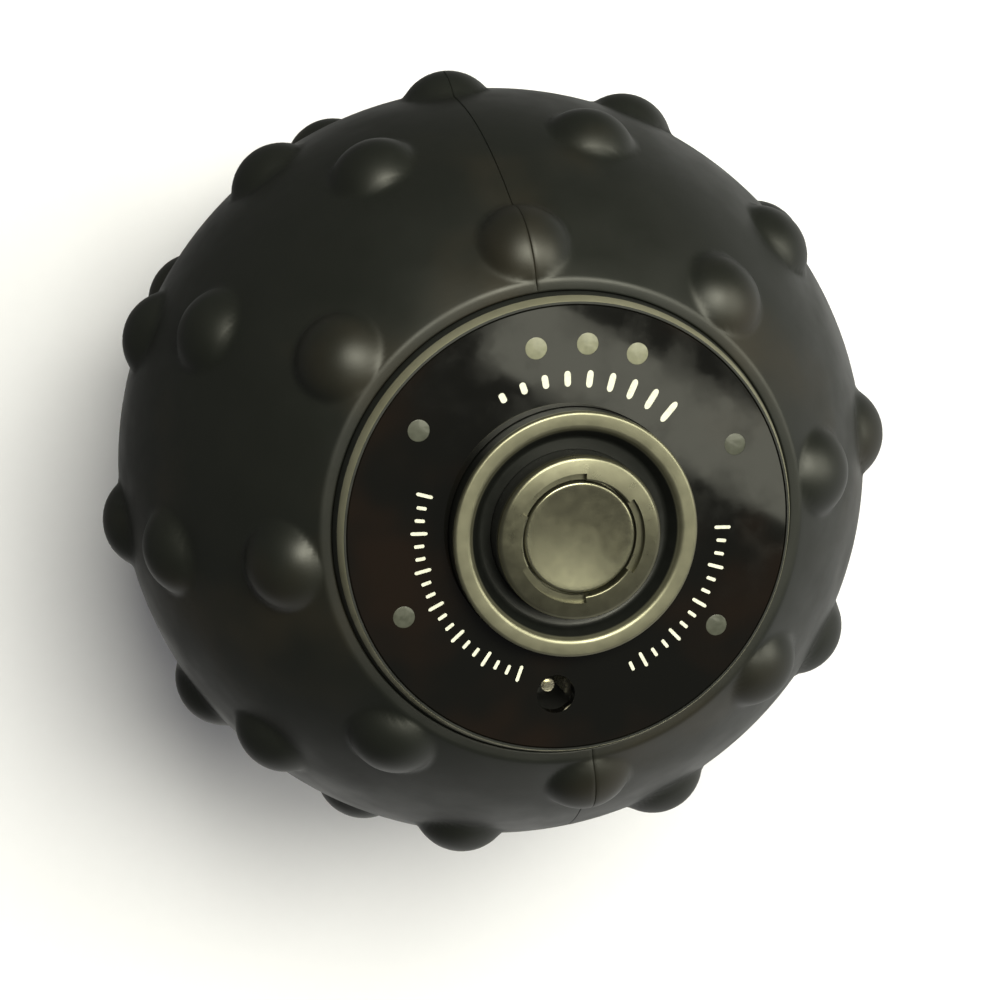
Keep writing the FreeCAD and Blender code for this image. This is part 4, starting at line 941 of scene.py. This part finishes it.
class MASSAGEBALL_OT_stage(BallOperator):
    """A pale floor, soft studio light and the camera"""
    bl_idname = "massageball.stage"
    bl_label = "Stage"

    @staticmethod
    def floor():
        mesh = bpy.data.meshes.new("studio_floor")
        half = 4.0
        mesh.from_pydata([(-half, -half, 0), (half, -half, 0), (half, half, 0), (-half, half, 0)], [],
                         [(0, 1, 2, 3)])
        finish = Finish("floor_paper", Specular_IOR_Level=0.2)
        fibre = finish.noise(3 * MM, 3.0)
        finish.set("Base Color", finish.blend(fibre, (0.86, 0.86, 0.97), (0.88, 0.88, 0.99)))
        finish.set("Roughness", finish.remap(fibre, 0.3, 0.7, 0.75, 0.9))
        mesh.materials.append(finish.material)
        floor = bpy.data.objects.new("studio_floor", mesh)
        # dark rubber would mirror the pale floor at its edges
        floor.visible_glossy = False
        bpy.context.scene.collection.objects.link(floor)

    @staticmethod
    def softbox(name, azimuth, elevation, distance, size, power, aim):
        light = bpy.data.lights.new(name, "AREA")
        light.shape = "RECTANGLE"
        light.size, light.size_y = size
        light.energy = power
        light.color = (1.0, 0.99, 0.80)
        lamp = bpy.data.objects.new(name, light)
        a, e = math.radians(azimuth), math.radians(elevation)
        direction = Vector((math.cos(e) * math.cos(a), math.cos(e) * math.sin(a), math.sin(e)))
        lamp.location = aim + direction * distance
        lamp.rotation_euler = direction.to_track_quat("Z", "Y").to_euler()
        bpy.context.scene.collection.objects.link(lamp)

    @staticmethod
    def camera(stage):
        centre = Vector((0, 0, BALL_CENTRE))
        level = math.cos(stage.elevation)
        direction = Vector((level * math.cos(stage.azimuth), level * math.sin(stage.azimuth),
                            math.sin(stage.elevation)))
        up = Vector((0, 1, 0))
        up = (up - direction * up.dot(direction)).normalized()
        up = Matrix.Rotation(stage.roll, 3, direction) @ up
        right = up.cross(direction)
        place = centre + direction * stage.distance
        # the line of sight passes beside and below the ball's centre
        aim = centre + right * stage.aim_right - up * stage.aim_down
        backwards = (place - aim).normalized()
        right = up.cross(backwards).normalized()
        up = backwards.cross(right)
        data = bpy.data.cameras.new("camera")
        data.lens = stage.lens
        data.sensor_width = 36.0
        data.clip_start = 0.01
        camera = bpy.data.objects.new("camera", data)
        turned = Matrix((right, up, backwards)).transposed().to_4x4()
        camera.matrix_world = Matrix.Translation(place) @ turned
        bpy.context.scene.collection.objects.link(camera)
        bpy.context.scene.camera = camera

    def execute(self, context):
        self.floor()
        self.camera(self.settings(context).stage)
        centre = Vector((0, 0, BALL_CENTRE))
        for name, azimuth, elevation, distance, size, power in SOFTBOXES:
            self.softbox(name, azimuth, elevation, distance, size, power, centre)
        world = bpy.data.worlds.new("studio")
        world.use_nodes = True
        # dim, and brighter low down on the right-hand side
        sky = Nodes(world.node_tree)
        direction = sky.node("ShaderNodeTexCoord")
        toward = sky.node("ShaderNodeVectorMath", direction, (0.74, -0.45, -0.5),
                          operation="DOT_PRODUCT", output=1)
        background = world.node_tree.nodes["Background"]
        background.inputs["Color"].default_value = (1.0, 1.0, 0.94, 1.0)
        sky.feed(background.inputs["Strength"], sky.remap(toward, 0.1, 0.8, 0.10, 0.7, smooth=True))
        context.scene.world = world
        context.scene.view_settings.view_transform = "Standard"
        return {"FINISHED"}


class BallSettings(PropertyGroup):
    skin: PointerProperty(type=SkinSizes, name="Skin", description="Sizes of the rubber skin")
    panel: PointerProperty(type=PanelSizes, name="Panel", description="Sizes of the control panel")
    button: PointerProperty(type=ButtonSizes, name="Button", description="Sizes of the push button")
    colours: PointerProperty(type=Colours, name="Colours", description="Colours of the visible parts")
    stage: PointerProperty(type=StageSettings, name="Stage", description="Camera")


STEPS = (MASSAGEBALL_OT_stage, MASSAGEBALL_OT_skin, MASSAGEBALL_OT_trim, MASSAGEBALL_OT_windows,
         MASSAGEBALL_OT_marks, MASSAGEBALL_OT_button, MASSAGEBALL_OT_finishes)


class MASSAGEBALL_PT_sidebar(Panel):
    """Lists the sizes, the colours and the steps that build the ball"""
    bl_label = "Massage ball"
    bl_idname = "MASSAGEBALL_PT_sidebar"
    bl_space_type = "VIEW_3D"
    bl_region_type = "UI"
    bl_category = "Massage ball"

    def draw(self, context):
        for step in STEPS:
            self.layout.operator(step.bl_idname)
        ball = context.scene.massage_ball
        for group in (ball.skin, ball.panel, ball.button, ball.colours, ball.stage):
            column = self.layout.box().column()
            for name in type(group).__annotations__:
                column.prop(group, name)


CLASSES = (SkinSizes, PanelSizes, ButtonSizes, Colours, StageSettings, BallSettings, *STEPS,
           MASSAGEBALL_PT_sidebar)


def register():
    for cls in CLASSES:
        bpy.utils.register_class(cls)
    bpy.types.Scene.massage_ball = PointerProperty(type=BallSettings, name="Massage ball",
                                                   description="All settings of the massage ball")


def unregister():
    del bpy.types.Scene.massage_ball
    for cls in reversed(CLASSES):
        bpy.utils.unregister_class(cls)


def main():
    register()
    for step in STEPS:
        family, name = step.bl_idname.split(".")
        getattr(getattr(bpy.ops, family), name)()


if __name__ == "__main__":
    main()
